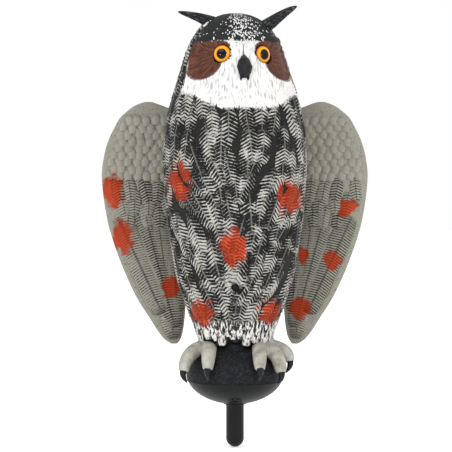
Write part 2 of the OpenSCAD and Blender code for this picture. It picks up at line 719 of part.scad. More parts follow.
// --- Gears -------------------------------------------------------------------
PRESSURE = 25;
BACKLASH = 0.24;
pitch_r = gear_module * sector_teeth / 2;
pinion_r = gear_module * pinion_teeth / 2;
shoulder_x = pitch_r;                    // the two sector gears mesh midway
tooth_deg = 360 / sector_teeth;
PINION_STEPS = 10;                       // teeth from the mid mesh to the pinion
pinion_dir = -PINION_STEPS * tooth_deg;
pinion_x = -shoulder_x + (pitch_r + pinion_r) * cos(pinion_dir);
pinion_z = shoulder_z + (pitch_r + pinion_r) * sin(pinion_dir);
GEAR_Y1 = 12;
GEAR_Y2 = 18;
SECTOR_HUB_R = 9;
WEB_R = 8;             // the web starts here, a little round from the teeth
WEB_TURN = 25;
RELIEF_R = 7;          // holes that lighten the sector
RELIEF_PITCH_R = 30;
RELIEF_TURNS = [-44, -10, 24];
OUTPUT_R = 3;          // radius of the output shaft
PRESS = 0.02;          // clearance of a pressed or keyed bore, on the radius

function involute_deg(a) = tan(a) * 180 / PI - a;

// Half the angle that a tooth spans at radius r
function half_tooth(teeth, r) =
    let (pitch = gear_module * teeth / 2, base = pitch * cos(PRESSURE),
         a = r > base ? acos(base / r) : 0)
    90 / teeth - BACKLASH / (2 * pitch) * 90 / PI + involute_deg(PRESSURE) - involute_deg(a);

// Outline of the tooth centred on angle c, from its low side to its high side
function tooth(teeth, c) =
    let (pitch = gear_module * teeth / 2, low = pitch - 1.25 * gear_module,
         high = pitch + gear_module, base = pitch * cos(PRESSURE),
         flank = [low, max(low, base) * 1.001, pitch, (pitch + high) / 2, high],
         side = [for (r = flank) [r, half_tooth(teeth, r)]])
    concat([for (s = side) [s[0] * cos(c - s[1]), s[0] * sin(c - s[1])]],
           [for (i = [len(side) - 1 : -1 : 0])
               [side[i][0] * cos(c + side[i][1]), side[i][0] * sin(c + side[i][1])]]);

// Extrudes an X-Z outline along Y, from y1 to y2
module plate(y1, y2) {
    translate([0, y2, 0]) rotate([90, 0, 0]) linear_extrude(y2 - y1) children();
}

// Sector that meshes from just above the mid line down to the pinion
module sector_gear(first, count, phase) {
    outline = [for (i = [first : first + count - 1]) each tooth(sector_teeth, (i + phase) * tooth_deg)];
    low = (first + phase - 1) * tooth_deg;
    high = (first + count + phase) * tooth_deg;
    difference() {
        union() {
            plate(GEAR_Y1, GEAR_Y2) polygon(concat(
                [WEB_R * [cos(low - WEB_TURN), sin(low - WEB_TURN)]], outline,
                [WEB_R * [cos(high + WEB_TURN), sin(high + WEB_TURN)]]));
            rod(0, 0, SECTOR_HUB_R, GEAR_Y1 - 2, GEAR_Y2 + 2);
        }
        rod(0, 0, shaft_r + PRESS, 0, 40);
        for (a = RELIEF_TURNS) rod(RELIEF_PITCH_R * cos(a), RELIEF_PITCH_R * sin(a), RELIEF_R, 0, 40);
    }
}

sector_first = -PINION_STEPS - 2;
sector_count = ceil(flap_deg / tooth_deg) + 2 - sector_first;

module right_sector_gear() {
    color("white") translate([-shoulder_x, 0, shoulder_z])
        sector_gear(sector_first, sector_count, 0);
}

// Its teeth are half a step round, to enter the gaps of the right one
module left_sector_gear() {
    color("white") mirror([1, 0, 0]) translate([-shoulder_x, 0, shoulder_z])
        sector_gear(sector_first, sector_count, 0.5);
}

module output_pinion() {
    phase = 180 + pinion_dir + 180 / pinion_teeth;
    outline = [for (i = [0 : pinion_teeth - 1]) each tooth(pinion_teeth, phase + i * 360 / pinion_teeth)];
    color("ivory") translate([pinion_x, 0, pinion_z]) difference() {
        union() {
            plate(GEAR_Y1 - 1, GEAR_Y2 + 1) polygon(outline);
            rod(0, 0, 6, GEAR_Y1 - 3, GEAR_Y2 + 1);
        }
        rod(0, 0, OUTPUT_R + PRESS, 0, 40);
    }
}

module output_shaft() {
    color("silver") rod(pinion_x, pinion_z, OUTPUT_R, -8, GEAR_Y2 + 2);
}

// --- Drive frame -------------------------------------------------------------
PLATE_T = 3;
PLATE_FRONT_Y = 4;
PLATE_REAR_Y = 26;
PLATE_W = 60;
PLATE_Z1 = 252;
PLATE_Z2 = 341;
PLATE_POSTS = [[26, 331], [42, 261]];     // x and z of the posts behind it
SPACERS = [[54, 334.5], [53, 258.5]];     // x and z of the corner spacers
SPACER_R = 4;
PLATE_CORNER_R = 6;
PLATE_WINDOW = [[4, 268], [30, 296]];     // opening for the motor's lead
BUSH_R = 6;
BUSH_FLANGE_R = 8;
BUSH_FLANGE_T = 1.5;
PLATE_BOLT = [1.5, 2.9, 2.2];             // radius, head radius and head height
NUT = [3.1, 2.2];                         // radius and height of a bolt's nut
DRIVE_SCREW = [15, 1.5, 3, 2.2];

module drive_plate(y) {
    c = PLATE_CORNER_R;
    color("silver") difference() {
        union() {
            block([-PLATE_W, y, PLATE_Z1 + c], [PLATE_W, y + PLATE_T, PLATE_Z2 - c]);
            block([-PLATE_W + c, y, PLATE_Z1], [PLATE_W - c, y + PLATE_T, PLATE_Z2]);
            for (x = [-PLATE_W + c, PLATE_W - c], z = [PLATE_Z1 + c, PLATE_Z2 - c])
                rod(x, z, c, y, y + PLATE_T);
        }
        for (s = [-1, 1]) {
            rod(s * shoulder_x, shoulder_z, BUSH_R + PRESS, y - 1, y + 5);
            for (p = SPACERS) rod(s * p[0], p[1], 1.6, y - 1, y + 5);
            for (p = PLATE_POSTS) rod(s * p[0], p[1], 1.7, y - 1, y + 5);
        }
        block([PLATE_WINDOW[0][0], y - 1, PLATE_WINDOW[0][1]],
            [PLATE_WINDOW[1][0], y + 5, PLATE_WINDOW[1][1]]);
        if (y == PLATE_FRONT_Y) rod(pinion_x, pinion_z, 8, y - 1, y + 5);
        if (y == PLATE_FRONT_Y) at_motor_screws(1.6, y - 1, y + 5);
    }
}

module drive_plate_front() {
    drive_plate(PLATE_FRONT_Y);
}

module drive_plate_rear() {
    drive_plate(PLATE_REAR_Y);
}

module plate_spacers() {
    color("gray") for (s = [-1, 1], p = SPACERS) difference() {
        rod(s * p[0], p[1], SPACER_R, PLATE_FRONT_Y + PLATE_T, PLATE_REAR_Y);
        rod(s * p[0], p[1], 1.6, 0, 40);
    }
}

module plate_bolts() {
    nut_y = PLATE_REAR_Y + PLATE_T;
    color("silver") for (s = [-1, 1], p = SPACERS) {
        screw(s * p[0], p[1], PLATE_FRONT_Y, concat([nut_y - PLATE_FRONT_Y + 3], PLATE_BOLT));
        difference() {
            translate([s * p[0], nut_y, p[1]]) rotate([-90, 0, 0]) cylinder(r = NUT[0], h = NUT[1], $fn = 6);
            rod(s * p[0], p[1], PLATE_BOLT[0] + PRESS, nut_y - 1, nut_y + 4);
        }
    }
}

// These pass through the rear plate into the posts of the back shell
module drive_screws() {
    color("silver") for (s = [-1, 1], p = PLATE_POSTS)
        screw(s * p[0], p[1], PLATE_REAR_Y, DRIVE_SCREW);
}

module bush(x, y1, y2, flange_y) {
    difference() {
        union() {
            rod(x, shoulder_z, BUSH_R, y1, y2);
            rod(x, shoulder_z, BUSH_FLANGE_R, flange_y, flange_y + BUSH_FLANGE_T);
        }
        rod(x, shoulder_z, shaft_r + fit, 0, 40);
    }
}

module shaft_bushes() {
    color("tan") for (s = [-1, 1]) {
        bush(s * shoulder_x, PLATE_FRONT_Y, PLATE_FRONT_Y + PLATE_T, PLATE_FRONT_Y - BUSH_FLANGE_T);
        bush(s * shoulder_x, PLATE_REAR_Y, PLATE_REAR_Y + PLATE_T, PLATE_REAR_Y + PLATE_T);
    }
}

module shaft_seals() {
    color("black") for (s = [-1, 1]) difference() {
        rod(s * shoulder_x, shoulder_z, SEAL_R, SEAL_Y, BOSS_FACE - 0.5);
        rod(s * shoulder_x, shoulder_z, shaft_r + fit, 40, 60);
    }
}

// --- Gearmotor ---------------------------------------------------------------
MOTOR_SCREW_R = 9.5;
GEARBOX = [12.5, 22];  // radius and length
MOTOR = [12, 28];
MOTOR_CAP = [4, 3];
TERMINAL_X = 7;        // half the distance between its two terminals

module at_motor_screws(r, y1, y2) {
    for (s = [-1, 1]) rod(pinion_x + s * MOTOR_SCREW_R, pinion_z, r, y1, y2);
}

module gearmotor() {
    motor_y = PLATE_FRONT_Y - GEARBOX[1];
    cap_y = motor_y - MOTOR[1];
    color("silver") difference() {
        union() {
            rod(pinion_x, pinion_z, GEARBOX[0], motor_y, PLATE_FRONT_Y);
            rod(pinion_x, pinion_z, MOTOR[0], cap_y, motor_y);
            rod(pinion_x, pinion_z, MOTOR_CAP[0], cap_y - MOTOR_CAP[1], cap_y);
            for (s = [-1, 1])
                block([pinion_x + s * TERMINAL_X - 1.5, cap_y - 5, pinion_z - 0.4],
                    [pinion_x + s * TERMINAL_X + 1.5, cap_y, pinion_z + 0.4]);
        }
        rod(pinion_x, pinion_z, OUTPUT_R + fit, -10, PLATE_FRONT_Y + 1);
        at_motor_screws(1.3, -6, PLATE_FRONT_Y + 1);
    }
    // its two fixing screws
    color("silver") at_motor_screws(1.25, -5, PLATE_FRONT_Y + PLATE_T);
}

// --- Wing shafts and hubs ----------------------------------------------------
HUB_FACE = 56;         // front of the hub's flange
HUB_BACK = 58.5;       // back of the flange, where the wing panel sits
PAD_BACK = 66;         // back of the panel's pad
SHAFT_END = 73;
HUB_R = 13;
HUB_SCREW_R = 10;
HUB_SCREW_TURNS = [90, 210, 330];
HUB_NECK_R = 7;        // the hub's neck fills the bore of the panel's pad
HUB_SCREW = [1.25, 2.5, 1.6];   // radius, head radius and head height
PAD_R = 14.4;
NUT_R = 7;
NUT_CAP_R = 5.4;

module wing_shaft(side) {
    color("silver") rod(side * shoulder_x, shoulder_z, shaft_r, 1, SHAFT_END);
}

module at_hub_screws(side) {
    for (a = HUB_SCREW_TURNS)
        translate([side * shoulder_x + HUB_SCREW_R * cos(a), 0, shoulder_z + HUB_SCREW_R * sin(a)]) children();
}

module wing_hub(side) {
    color("dimgray") difference() {
        union() {
            rod(side * shoulder_x, shoulder_z, HUB_R, HUB_FACE, HUB_BACK);
            rod(side * shoulder_x, shoulder_z, HUB_NECK_R, HUB_BACK - 1, PAD_BACK);
        }
        rod(side * shoulder_x, shoulder_z, shaft_r + PRESS, 40, 80);
        at_hub_screws(side) rod(0, 0, 1.3, 50, 60);
    }
}

module hub_screws(side) {
    color("silver") at_hub_screws(side) {
        rod(0, 0, HUB_SCREW[0], HUB_FACE + 0.5, PAD_BACK);
        rod(0, 0, HUB_SCREW[1], PAD_BACK, PAD_BACK + HUB_SCREW[2]);
    }
}

// Washer and closed nut at the end of a wing shaft
module wing_nut(side) {
    x = side * shoulder_x;
    color("silver") {
        difference() {
            rod(x, shoulder_z, NUT_R, PAD_BACK, PAD_BACK + 1);
            rod(x, shoulder_z, shaft_r + PRESS, 60, 70);
        }
        difference() {
            union() {
                translate([x, PAD_BACK + 1, shoulder_z]) rotate([-90, 0, 0]) cylinder(r = NUT_R, h = 5, $fn = 6);
                rod(x, shoulder_z, NUT_CAP_R, PAD_BACK + 6, SHAFT_END + 1.5);
            }
            rod(x, shoulder_z, shaft_r + PRESS, 60, SHAFT_END + 0.1);
        }
    }
}

// --- Wing panels -------------------------------------------------------------
// Each row is height, inner edge and outer edge, from the owl's middle plane.
WING = [
    [64.5, 69, 76], [70, 65, 84], [80, 62, 92], [96, 60, 102],
    [124, 58, 119], [167, 55, 137.5], [211, 51, 151], [261, 44, 158],
    [290, 38, 155], [308, 35, 150], [322, 36, 143.5], [334, 42, 137],
    [341, 60, 130], [347.5, 80, 122], [351.5, 91, 114.5], [354, 99, 107],
];
WING_FRONT_Y = 61;     // front of the panel at its innermost edge
WING_INNER = 35;
WING_EDGE_T = 2.4;     // thickness at the rim
WING_EDGE_ROUND = 1.2; // how far the front curls back at the rim

// Front of the panel at distance x from the middle plane
function wing_front(x) = WING_FRONT_Y - wing_lean * (x - WING_INNER);

// Ring round the panel at row t, for the wing on the side of +X
function wing_ring(t) =
    let (z = smooth(WING, 0, t), a = smooth(WING, 1, t), b = smooth(WING, 2, t),
         thick = min(wing_t, WING_EDGE_T + (b - a) * 0.12), n = 6)
    concat(
        [for (i = [0 : n]) let (u = i / n, x = a + (b - a) * u, rim = 4 * u * (1 - u))
            [x, wing_front(x) + (1 - sqrt(rim)) * WING_EDGE_ROUND, z]],
        [for (i = [n : -1 : 0]) let (u = i / n, x = a + (b - a) * u, rim = 4 * u * (1 - u))
            [x, wing_front(x) + WING_EDGE_T + (thick - WING_EDGE_T) * sqrt(rim), z]]);

module wing_panel(side) {
    mirrored(-side) color("darkgray") difference() {
        union() {
            loft([for (i = [0 : (len(WING) - 1) * 2]) wing_ring(i / 2)]);
            rod(shoulder_x, shoulder_z, PAD_R, HUB_BACK, PAD_BACK);
        }
        rod(shoulder_x, shoulder_z, HUB_R + gap, 40, HUB_BACK);
        rod(shoulder_x, shoulder_z, HUB_NECK_R + PRESS, 50, 80);
        for (a = HUB_SCREW_TURNS)
            rod(shoulder_x + HUB_SCREW_R * cos(a), shoulder_z + HUB_SCREW_R * sin(a), 1.3, 50, 80);
        rod(shoulder_x, shoulder_z, PAD_R, PAD_BACK, 90);
    }
}

// --- Leads -------------------------------------------------------------------
LEAD_R = 1.1;
BATTERY_LEAD = [[-16, 40, 178], [-16, 35, 176], [-17, 30, 178], [-17, 25, 184], [-16, 25, 190]];
SWITCH_LEAD = [[0, 46, 276], [0, 40, 274], [4, 34, 262], [10, 31, 246], [14, 28, 234], [14, 28, 224]];
MOTOR_LEAD = [[10, 25, 220], [4, 14, 228], [-6, -6, 236], [-14, -34, 246], [-16, -53, 260], [-16.5, -53.5, 268]];

// --- Assembly ----------------------------------------------------------------
body_front_shell();
body_back_shell();
beak();
tail_fan();
perch_top();
perch_base();
foot(-1);  // right_foot
foot(1);  // left_foot
ear_tuft(-1);  // right_ear_tuft
ear_tuft(1);  // left_ear_tuft
eye_lens(-1);  // right_eye_lens
eye_lens(1);  // left_eye_lens
iris_disc(-1);  // right_iris_disc
iris_disc(1);  // left_iris_disc
shell_screws();
belly_screw();
ankle_screws();
base_screws();
drive_plate_front();
drive_plate_rear();
plate_spacers();
plate_bolts();
drive_screws();
shaft_bushes();
shaft_seals();
gearmotor();
output_pinion();
output_shaft();
right_sector_gear();
left_sector_gear();
wing_shaft(-1);  // right_wing_shaft
wing_shaft(1);  // left_wing_shaft
wing_hub(-1);  // right_wing_hub
wing_hub(1);  // left_wing_hub
wing_panel(-1);  // right_wing
wing_panel(1);  // left_wing
hub_screws(-1);  // right_hub_screws
hub_screws(1);  // left_hub_screws
wing_nut(-1);  // right_wing_nut
wing_nut(1);  // left_wing_nut
hatch_frame();
hatch_screws();
battery_box();
battery_cells();
battery_contacts();
battery_door();
door_gasket();
door_hinge_pin();
door_latch();
latch_screw();
power_button();
power_switch();
control_board();
color("red") wire(BATTERY_LEAD, LEAD_R);  // battery_lead
color("black") wire(SWITCH_LEAD, LEAD_R);  // switch_lead
color("red") wire(MOTOR_LEAD, LEAD_R);  // motor_lead
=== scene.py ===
# %% [markdown]
# # Horned owl decoy with flapping wings
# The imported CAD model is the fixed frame: its shafts, gears, hatch and screws
# stay exactly where they are. This notebook adds what a mould maker and a
# painter add to it: the feathered shells, the face, the wings and the perch.

# %% [markdown]
# ## Loading the frame
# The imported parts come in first, and every later step measures from them. The
# box round the CAD parts is read before anything is added, because the finished
# owl has to stay inside it. One seed makes every scatter repeat exactly.

# %% Load the frame
import json
import math
import random
from bisect import bisect_left

import bmesh
import bpy
from mathutils import Matrix, Vector, noise

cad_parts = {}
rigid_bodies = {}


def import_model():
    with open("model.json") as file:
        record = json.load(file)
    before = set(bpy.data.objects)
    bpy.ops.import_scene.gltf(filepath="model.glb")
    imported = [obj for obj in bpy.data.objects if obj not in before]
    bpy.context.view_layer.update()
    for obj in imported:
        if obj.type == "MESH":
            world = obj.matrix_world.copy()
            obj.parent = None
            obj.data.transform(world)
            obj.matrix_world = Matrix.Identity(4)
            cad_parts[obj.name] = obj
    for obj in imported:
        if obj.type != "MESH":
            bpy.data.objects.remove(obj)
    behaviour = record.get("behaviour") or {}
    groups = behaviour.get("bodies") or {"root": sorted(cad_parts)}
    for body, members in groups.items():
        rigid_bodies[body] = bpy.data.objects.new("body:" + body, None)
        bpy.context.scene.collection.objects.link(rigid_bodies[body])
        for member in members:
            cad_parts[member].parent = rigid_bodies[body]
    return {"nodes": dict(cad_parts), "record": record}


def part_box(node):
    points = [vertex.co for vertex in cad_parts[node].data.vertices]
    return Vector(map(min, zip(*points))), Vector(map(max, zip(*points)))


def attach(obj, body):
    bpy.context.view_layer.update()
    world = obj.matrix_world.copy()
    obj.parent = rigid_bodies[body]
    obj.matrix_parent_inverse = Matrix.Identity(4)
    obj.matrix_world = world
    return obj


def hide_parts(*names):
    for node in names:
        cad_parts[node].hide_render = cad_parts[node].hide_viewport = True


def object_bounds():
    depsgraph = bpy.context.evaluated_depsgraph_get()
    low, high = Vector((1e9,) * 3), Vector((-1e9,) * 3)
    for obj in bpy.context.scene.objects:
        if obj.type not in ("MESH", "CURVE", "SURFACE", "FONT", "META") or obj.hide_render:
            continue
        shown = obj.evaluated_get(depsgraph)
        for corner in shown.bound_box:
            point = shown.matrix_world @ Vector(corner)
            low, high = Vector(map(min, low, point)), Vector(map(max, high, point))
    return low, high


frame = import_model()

cad_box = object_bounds()
MM = 0.001
random.seed(11)
print("frame:", len(frame["nodes"]), "nodes, height", round(cad_box[1].z - cad_box[0].z, 4), "m")

# %% [markdown]
# ## Camera and studio
# A decoy is best judged from the front, level with its belly, with a long
# lens so that the wings and the face keep their true proportions. A pale floor
# and large soft lamps give even light, and three small lamps in front are the
# ones that sparkle in the eyes.

# %% Camera
CAMERA_PLACE = (-0.0104, -1.6, 0.2057)
bpy.ops.object.camera_add(location=CAMERA_PLACE, rotation=(math.pi / 2, 0, 0))
camera = bpy.context.object
camera.data.lens = 110
camera.data.sensor_width = 36
bpy.context.scene.camera = camera
print("camera at", CAMERA_PLACE)

# %% [markdown]
# ## Colours and shader nodes
# Shader colours are linear, so hex codes are turned from sRGB in one place. One
# short helper adds any node with its settings and links, which keeps each
# material readable from top to bottom as the painter would work.

# %% Colours and shader nodes
def paint(code, alpha=1.0):
    """Linear colour of an sRGB hex code."""
    parts = [int(code[i:i + 2], 16) / 255 for i in (1, 3, 5)]
    return (*[c / 12.92 if c <= 0.04045 else ((c + 0.055) / 1.055) ** 2.4 for c in parts], alpha)


def add(tree, kind, inputs=None, out=0, **settings):
    """Adds one shader node with its settings and its input values or links, and returns an output."""
    made = tree.nodes.new("ShaderNode" + kind)
    for name, value in settings.items():
        setattr(made, name, value)
    for key, value in (inputs or {}).items():
        if isinstance(value, bpy.types.NodeSocket):
            tree.links.new(value, made.inputs[key])
        else:
            made.inputs[key].default_value = value
    return made.outputs[out] if len(made.outputs) else made


def start_material(name):
    """An empty node material, and its tree."""
    material = bpy.data.materials.new(name)
    material.use_nodes = True
    material.node_tree.nodes.clear()
    return material, material.node_tree


def finish_material(tree, **shader):
    """Ends a material in one Principled shader. Names are written with _ for a space."""
    if not shader.get("Metallic"):
        shader.setdefault("Specular_IOR_Level", 0.16)
    surface = add(tree, "BsdfPrincipled", {key.replace("_", " "): value for key, value in shader.items()})
    add(tree, "OutputMaterial", {"Surface": surface})


def grain_scale(size_mm):
    """Scale of a texture on Object coordinates whose features are this many millimetres across."""
    return 1000.0 / size_mm

# %% [markdown]
# ## Floor and lamps
# White paper on a wide table and a white room give the even, nearly shadowless
# light that shows paint best. A curved backdrop would serve one side only, and
# this owl is looked at from all round, so the table is flat and very wide.

# %% Floor and lamps
def studio_floor():
    """A pale matt table, so wide that its edge is never seen."""
    material, tree = start_material("seamless paper")
    place = add(tree, "TexCoord", out=3)
    mottle = add(tree, "TexNoise", {"Vector": place, "Scale": 3.0})
    colour = add(tree, "Mix", {0: mottle, 6: paint("#f7f7f6"), 7: paint("#fdfdfc")}, out=2, data_type="RGBA")
    finish_material(tree, Base_Color=colour, Roughness=0.9, Emission_Color=colour, Emission_Strength=0.3)
    bm = bmesh.new()
    bmesh.ops.create_grid(bm, x_segments=2, y_segments=2, size=60)
    bmesh.ops.translate(bm, vec=(0, 0, cad_box[0].z), verts=bm.verts)
    mesh = bpy.data.meshes.new("studio_floor")
    bm.to_mesh(mesh)
    bm.free()
    floor = bpy.data.objects.new("studio_floor", mesh)
    mesh.materials.append(material)
    bpy.context.scene.collection.objects.link(floor)


def soft_lamp(name, place, aim, size, power):
    """A square soft lamp that looks at a point."""
    lamp = bpy.data.lights.new(name, "AREA")
    lamp.shape, lamp.size, lamp.energy = "SQUARE", size, power
    holder = bpy.data.objects.new(name, lamp)
    holder.location = place
    holder.rotation_euler = (Vector(aim) - Vector(place)).to_track_quat("-Z", "Y").to_euler()
    bpy.context.scene.collection.objects.link(holder)


studio_floor()
CHEST = (0, 0, 0.24)
FACE = (0, 0, 0.4)
soft_lamp("key", (-1.1, -1.5, 1.5), CHEST, 1.0, 9)
soft_lamp("fill", (1.5, -1.4, 0.7), CHEST, 1.3, 3)
soft_lamp("back_left", (-1.4, 1.4, 1.3), CHEST, 1.2, 5)
soft_lamp("back_right", (1.4, 1.5, 1.1), CHEST, 1.2, 4)
for n, place in enumerate([(-0.96, -1.15, 0.46), (0.05, -1.5, 0.5), (1.15, -0.96, 0.46)]):
    soft_lamp(f"sparkle_{n}", place, FACE, 0.05, 1.5)
world = bpy.data.worlds.new("studio")
bpy.context.scene.world = world
world.use_nodes = True
world.node_tree.nodes["Background"].inputs[0].default_value = paint("#ffffff")
world.node_tree.nodes["Background"].inputs[1].default_value = 1.0
bpy.context.scene.view_settings.view_transform = "Standard"
print("studio: floor at", round(cad_box[0].z, 4))

# %% [markdown]
# ## The body's form
# The owl is blow moulded: a hollow egg-shaped body with a round head, split
# down the sides into a front and a back shell. Its form is kept as a short
# table of half-ellipses, the same one that the CAD shells are lofted from. It
# could be box modelled, but a table keeps the skin and the CAD together.

# %% Body table
# height, half width, depth in front and depth behind, in millimetres
BODY = [
    (72, 44, 35, 32), (88, 48.5, 43, 36), (116, 58.5, 53, 42), (152, 70, 64, 49),
    (196, 77, 72, 56), (240, 82, 78, 61), (285, 84, 79, 64), (325, 81, 74, 65),
    (352, 75, 65, 62), (380, 64, 56, 58), (406, 56, 50, 54), (426, 46, 42, 45),
    (440, 35, 32, 34), (448, 21, 19, 20), (451, 8, 8, 8), (451.6, 0.1, 0.1, 0.1),
]
FOOT_Z, TOP_Z = BODY[0][0], BODY[-1][0]


def eased(rows, steps=10):
    """The rows of a table with rows between them on a smooth curve."""
    made = []
    for i in range(len(rows) - 1):
        four = rows[max(i - 1, 0)], rows[i], rows[i + 1], rows[min(i + 2, len(rows) - 1)]
        for k in range(steps):
            f = k / steps
            made.append([
                b + f * (c - a) / 2 + f * f * (a - 2.5 * b + 2 * c - d / 2)
                + f ** 3 * (1.5 * (b - c) + (d - a) / 2)
                for a, b, c, d in zip(*four)])
    return made + [list(rows[-1])]


class Table:
    """A smooth table that is read by its first column."""

    def __init__(self, rows):
        self.rows = eased(rows)
        self.keys = [row[0] for row in self.rows]

    def at(self, key):
        i = min(max(bisect_left(self.keys, key), 1), len(self.keys) - 1)
        low, high = self.rows[i - 1], self.rows[i]
        f = min(max((key - low[0]) / max(high[0] - low[0], 1e-6), 0), 1)
        return [a + (b - a) * f for a, b in zip(low, high)][1:]


body_table = Table(BODY)
PLUMAGE_DEPTH = 2.8     # the skin lies this far under the feathers' backs


def fade(low, high, value):
    """0 at low, 1 at high, with an even start and end."""
    f = min(max((value - low) / (high - low), 0), 1)
    return f * f * (3 - 2 * f)


def body_point(angle, z):
    """Point of the skin in millimetres. The angle is from straight ahead, and positive towards +X."""
    width, front, back = body_table.at(z)
    inset = PLUMAGE_DEPTH * (1 - fade(352, 385, z)) if z < 385 else 0.0
    depth = front if math.cos(angle) > 0 else back
    return Vector(((width - inset) * math.sin(angle), -(depth - inset) * math.cos(angle), z))


def body_frame(angle, z):
    """Point, outward direction, and millimetres of skin for each radian of angle."""
    here = body_point(angle, z)
    width, front, back = body_table.at(z)
    depth = front if math.cos(angle) > 0 else back
    around = Vector((width * math.cos(angle), depth * math.sin(angle), 0))
    up = body_point(angle, z + 1.5) - body_point(angle, z - 1.5)
    if up.length < 1e-6:
        up = Vector((0, 0, 1))
    return here, around.cross(up).normalized(), around.length


print("body: widest", max(row[1] for row in BODY) * 2, "mm")

# %% [markdown]
# ## The face
# A horned owl's face is two round brown dishes with raised rims, a heavy brow,
# and a white beard that runs up between the eyes. Sculpting by hand in Sculpt
# mode would do it once; a height function does it again whenever the head's
# size changes, and it also tells the painter where each colour ends, so relief
# and paint always meet.

# %% Face layout
HEAD_TURN = math.radians(10)
HEAD_R = 52             # arc lengths on the face are measured at this radius
EYE_Z = 399
EYE_S = HEAD_R * math.radians(27)
BROW_T = 15             # the brow's lower edge, above the eyes' middle
BIB_MIDDLE, BIB_SIDE = 337, 356
FACE_SIDE = 66          # the face ends this far round from its middle


def face_place(co):
    """Arc from the face's middle and height from the eyes, of a point in millimetres."""
    return HEAD_R * (math.atan2(co.x, -co.y) - HEAD_TURN), co.z - EYE_Z


def dish_inset(s, t):
    """How far a place is inside the brown dishes, negative outside."""
    side = abs(s)
    below = max(0.0, -8 - t)        # above its middle a dish runs straight up to the brow
    dish = (1 - math.hypot((side - 46) / 23, below / 22)) * 22.5
    lobe = 12.8 - math.hypot(side - EYE_S - 0.8, t - 2.5)
    return min(max(dish, lobe), BROW_T + 1 - t)


def bib_inset(s, t):
    """How far a place is inside the white of the face and chest, negative outside."""
    edge = BIB_MIDDLE + (BIB_SIDE - BIB_MIDDLE) * fade(18, 60, abs(s)) - EYE_Z
    return min(t - edge, FACE_SIDE - abs(s))


def eye_offset(s, t):
    """Place measured from the nearer eye's middle."""
    return (s - math.copysign(EYE_S, s), t)


def face_relief(s, t):
    """Height of the sculpted face over the plain head, in millimetres."""
    front = 1 - fade(62, 76, abs(s))
    dish = dish_inset(s, t)
    eye = math.hypot(*eye_offset(s, t))
    height = -2.4 * fade(0, 7, dish) + 1.5 * math.exp(-(dish / 1.7) ** 2) * fade(2, -6, t)
    height += 3.2 * math.exp(-((t - BROW_T - 4.5) / 4.2) ** 2) * fade(4, 16, abs(s)) * front
    height += 1.1 * math.exp(-((eye - 12) / 1.1) ** 2)
    height += 2.6 * math.exp(-(s / 8) ** 2) * fade(-40, -18, t) * fade(16, 4, t)
    beard = fade(0, 10, bib_inset(s, t)) * (1 - fade(-2, 2, dish))
    beard *= 1 - fade(BROW_T - 3, BROW_T, t)
    height += beard * (0.35 * math.sin(s * 1.9 + 1.3 * math.sin(t * 0.11)) + 0.8)
    crown = fade(BROW_T, BROW_T + 5, t)
    height += crown * 0.5 * noise.noise(Vector((s * 0.45, t * 0.2, 3.0)))
    return height * front


print("face: eyes", round(2 * EYE_S), "mm apart along the head")

# %% [markdown]
# ## Finishing a bmesh
# Each piece is modelled as a bmesh at the origin, so its object needs no turn
# or scale. One function makes the object, sets its body and its slot, and hides
# the CAD parts that it stands for. Round holes are punched by removing the
# points inside and drawing the edge out to a true circle.

# %% Finishing a bmesh
def make_piece(name, bm, material, body="root", replaces=(), smooth=True):
    """Turns a bmesh in metres into a piece that rides on a body."""
    mesh = bpy.data.meshes.new(name)
    bm.to_mesh(mesh)
    bm.free()
    piece = bpy.data.objects.new(name, mesh)
    bpy.context.scene.collection.objects.link(piece)
    mesh.materials.append(material)
    if smooth:
        mesh.polygons.foreach_set("use_smooth", [True] * len(mesh.polygons))
    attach(piece, body)
    if replaces:
        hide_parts(*replaces)
    print(f"{name}: {len(mesh.polygons)} faces, rides on {body}")
    return piece


def add_modifier(piece, kind, **settings):
    """Adds a modifier with its settings."""
    made = piece.modifiers.new(kind.title(), kind)
    for name, value in settings.items():
        setattr(made, name, value)
    return made


def punch(bm, centre, axis, radius):
    """Opens a round hole where the axis leaves the skin. All in metres."""
    centre, axis = Vector(centre), Vector(axis).normalized()

    def off_axis(co):
        away = co - centre
        return away - axis * away.dot(axis) if away.dot(axis) > 0 else Vector((9, 9, 9))

    inside = [v for v in bm.verts if off_axis(v.co).length < radius]
    bmesh.ops.delete(bm, geom=inside, context="VERTS")
    rim = {v for e in bm.edges if e.is_boundary for v in e.verts}
    for v in rim:
        off = off_axis(v.co)
        if off.length < radius * 1.4 + 0.002:
            v.co += off * (radius / off.length - 1)


# %% [markdown]
# ## Shell paint
# The bare shell shows on the face, the crown and in the gaps between feathers.
# It is ABS sprayed white on the beard, red brown in the dishes and black on
# the crown, which the painter then flicks with white. Every border follows an
# attribute that the sculpting step leaves on the mesh, roughened with noise.

# %% Shell paint
ORANGE, DEEP_RED = "#f04c06", "#a82a08"


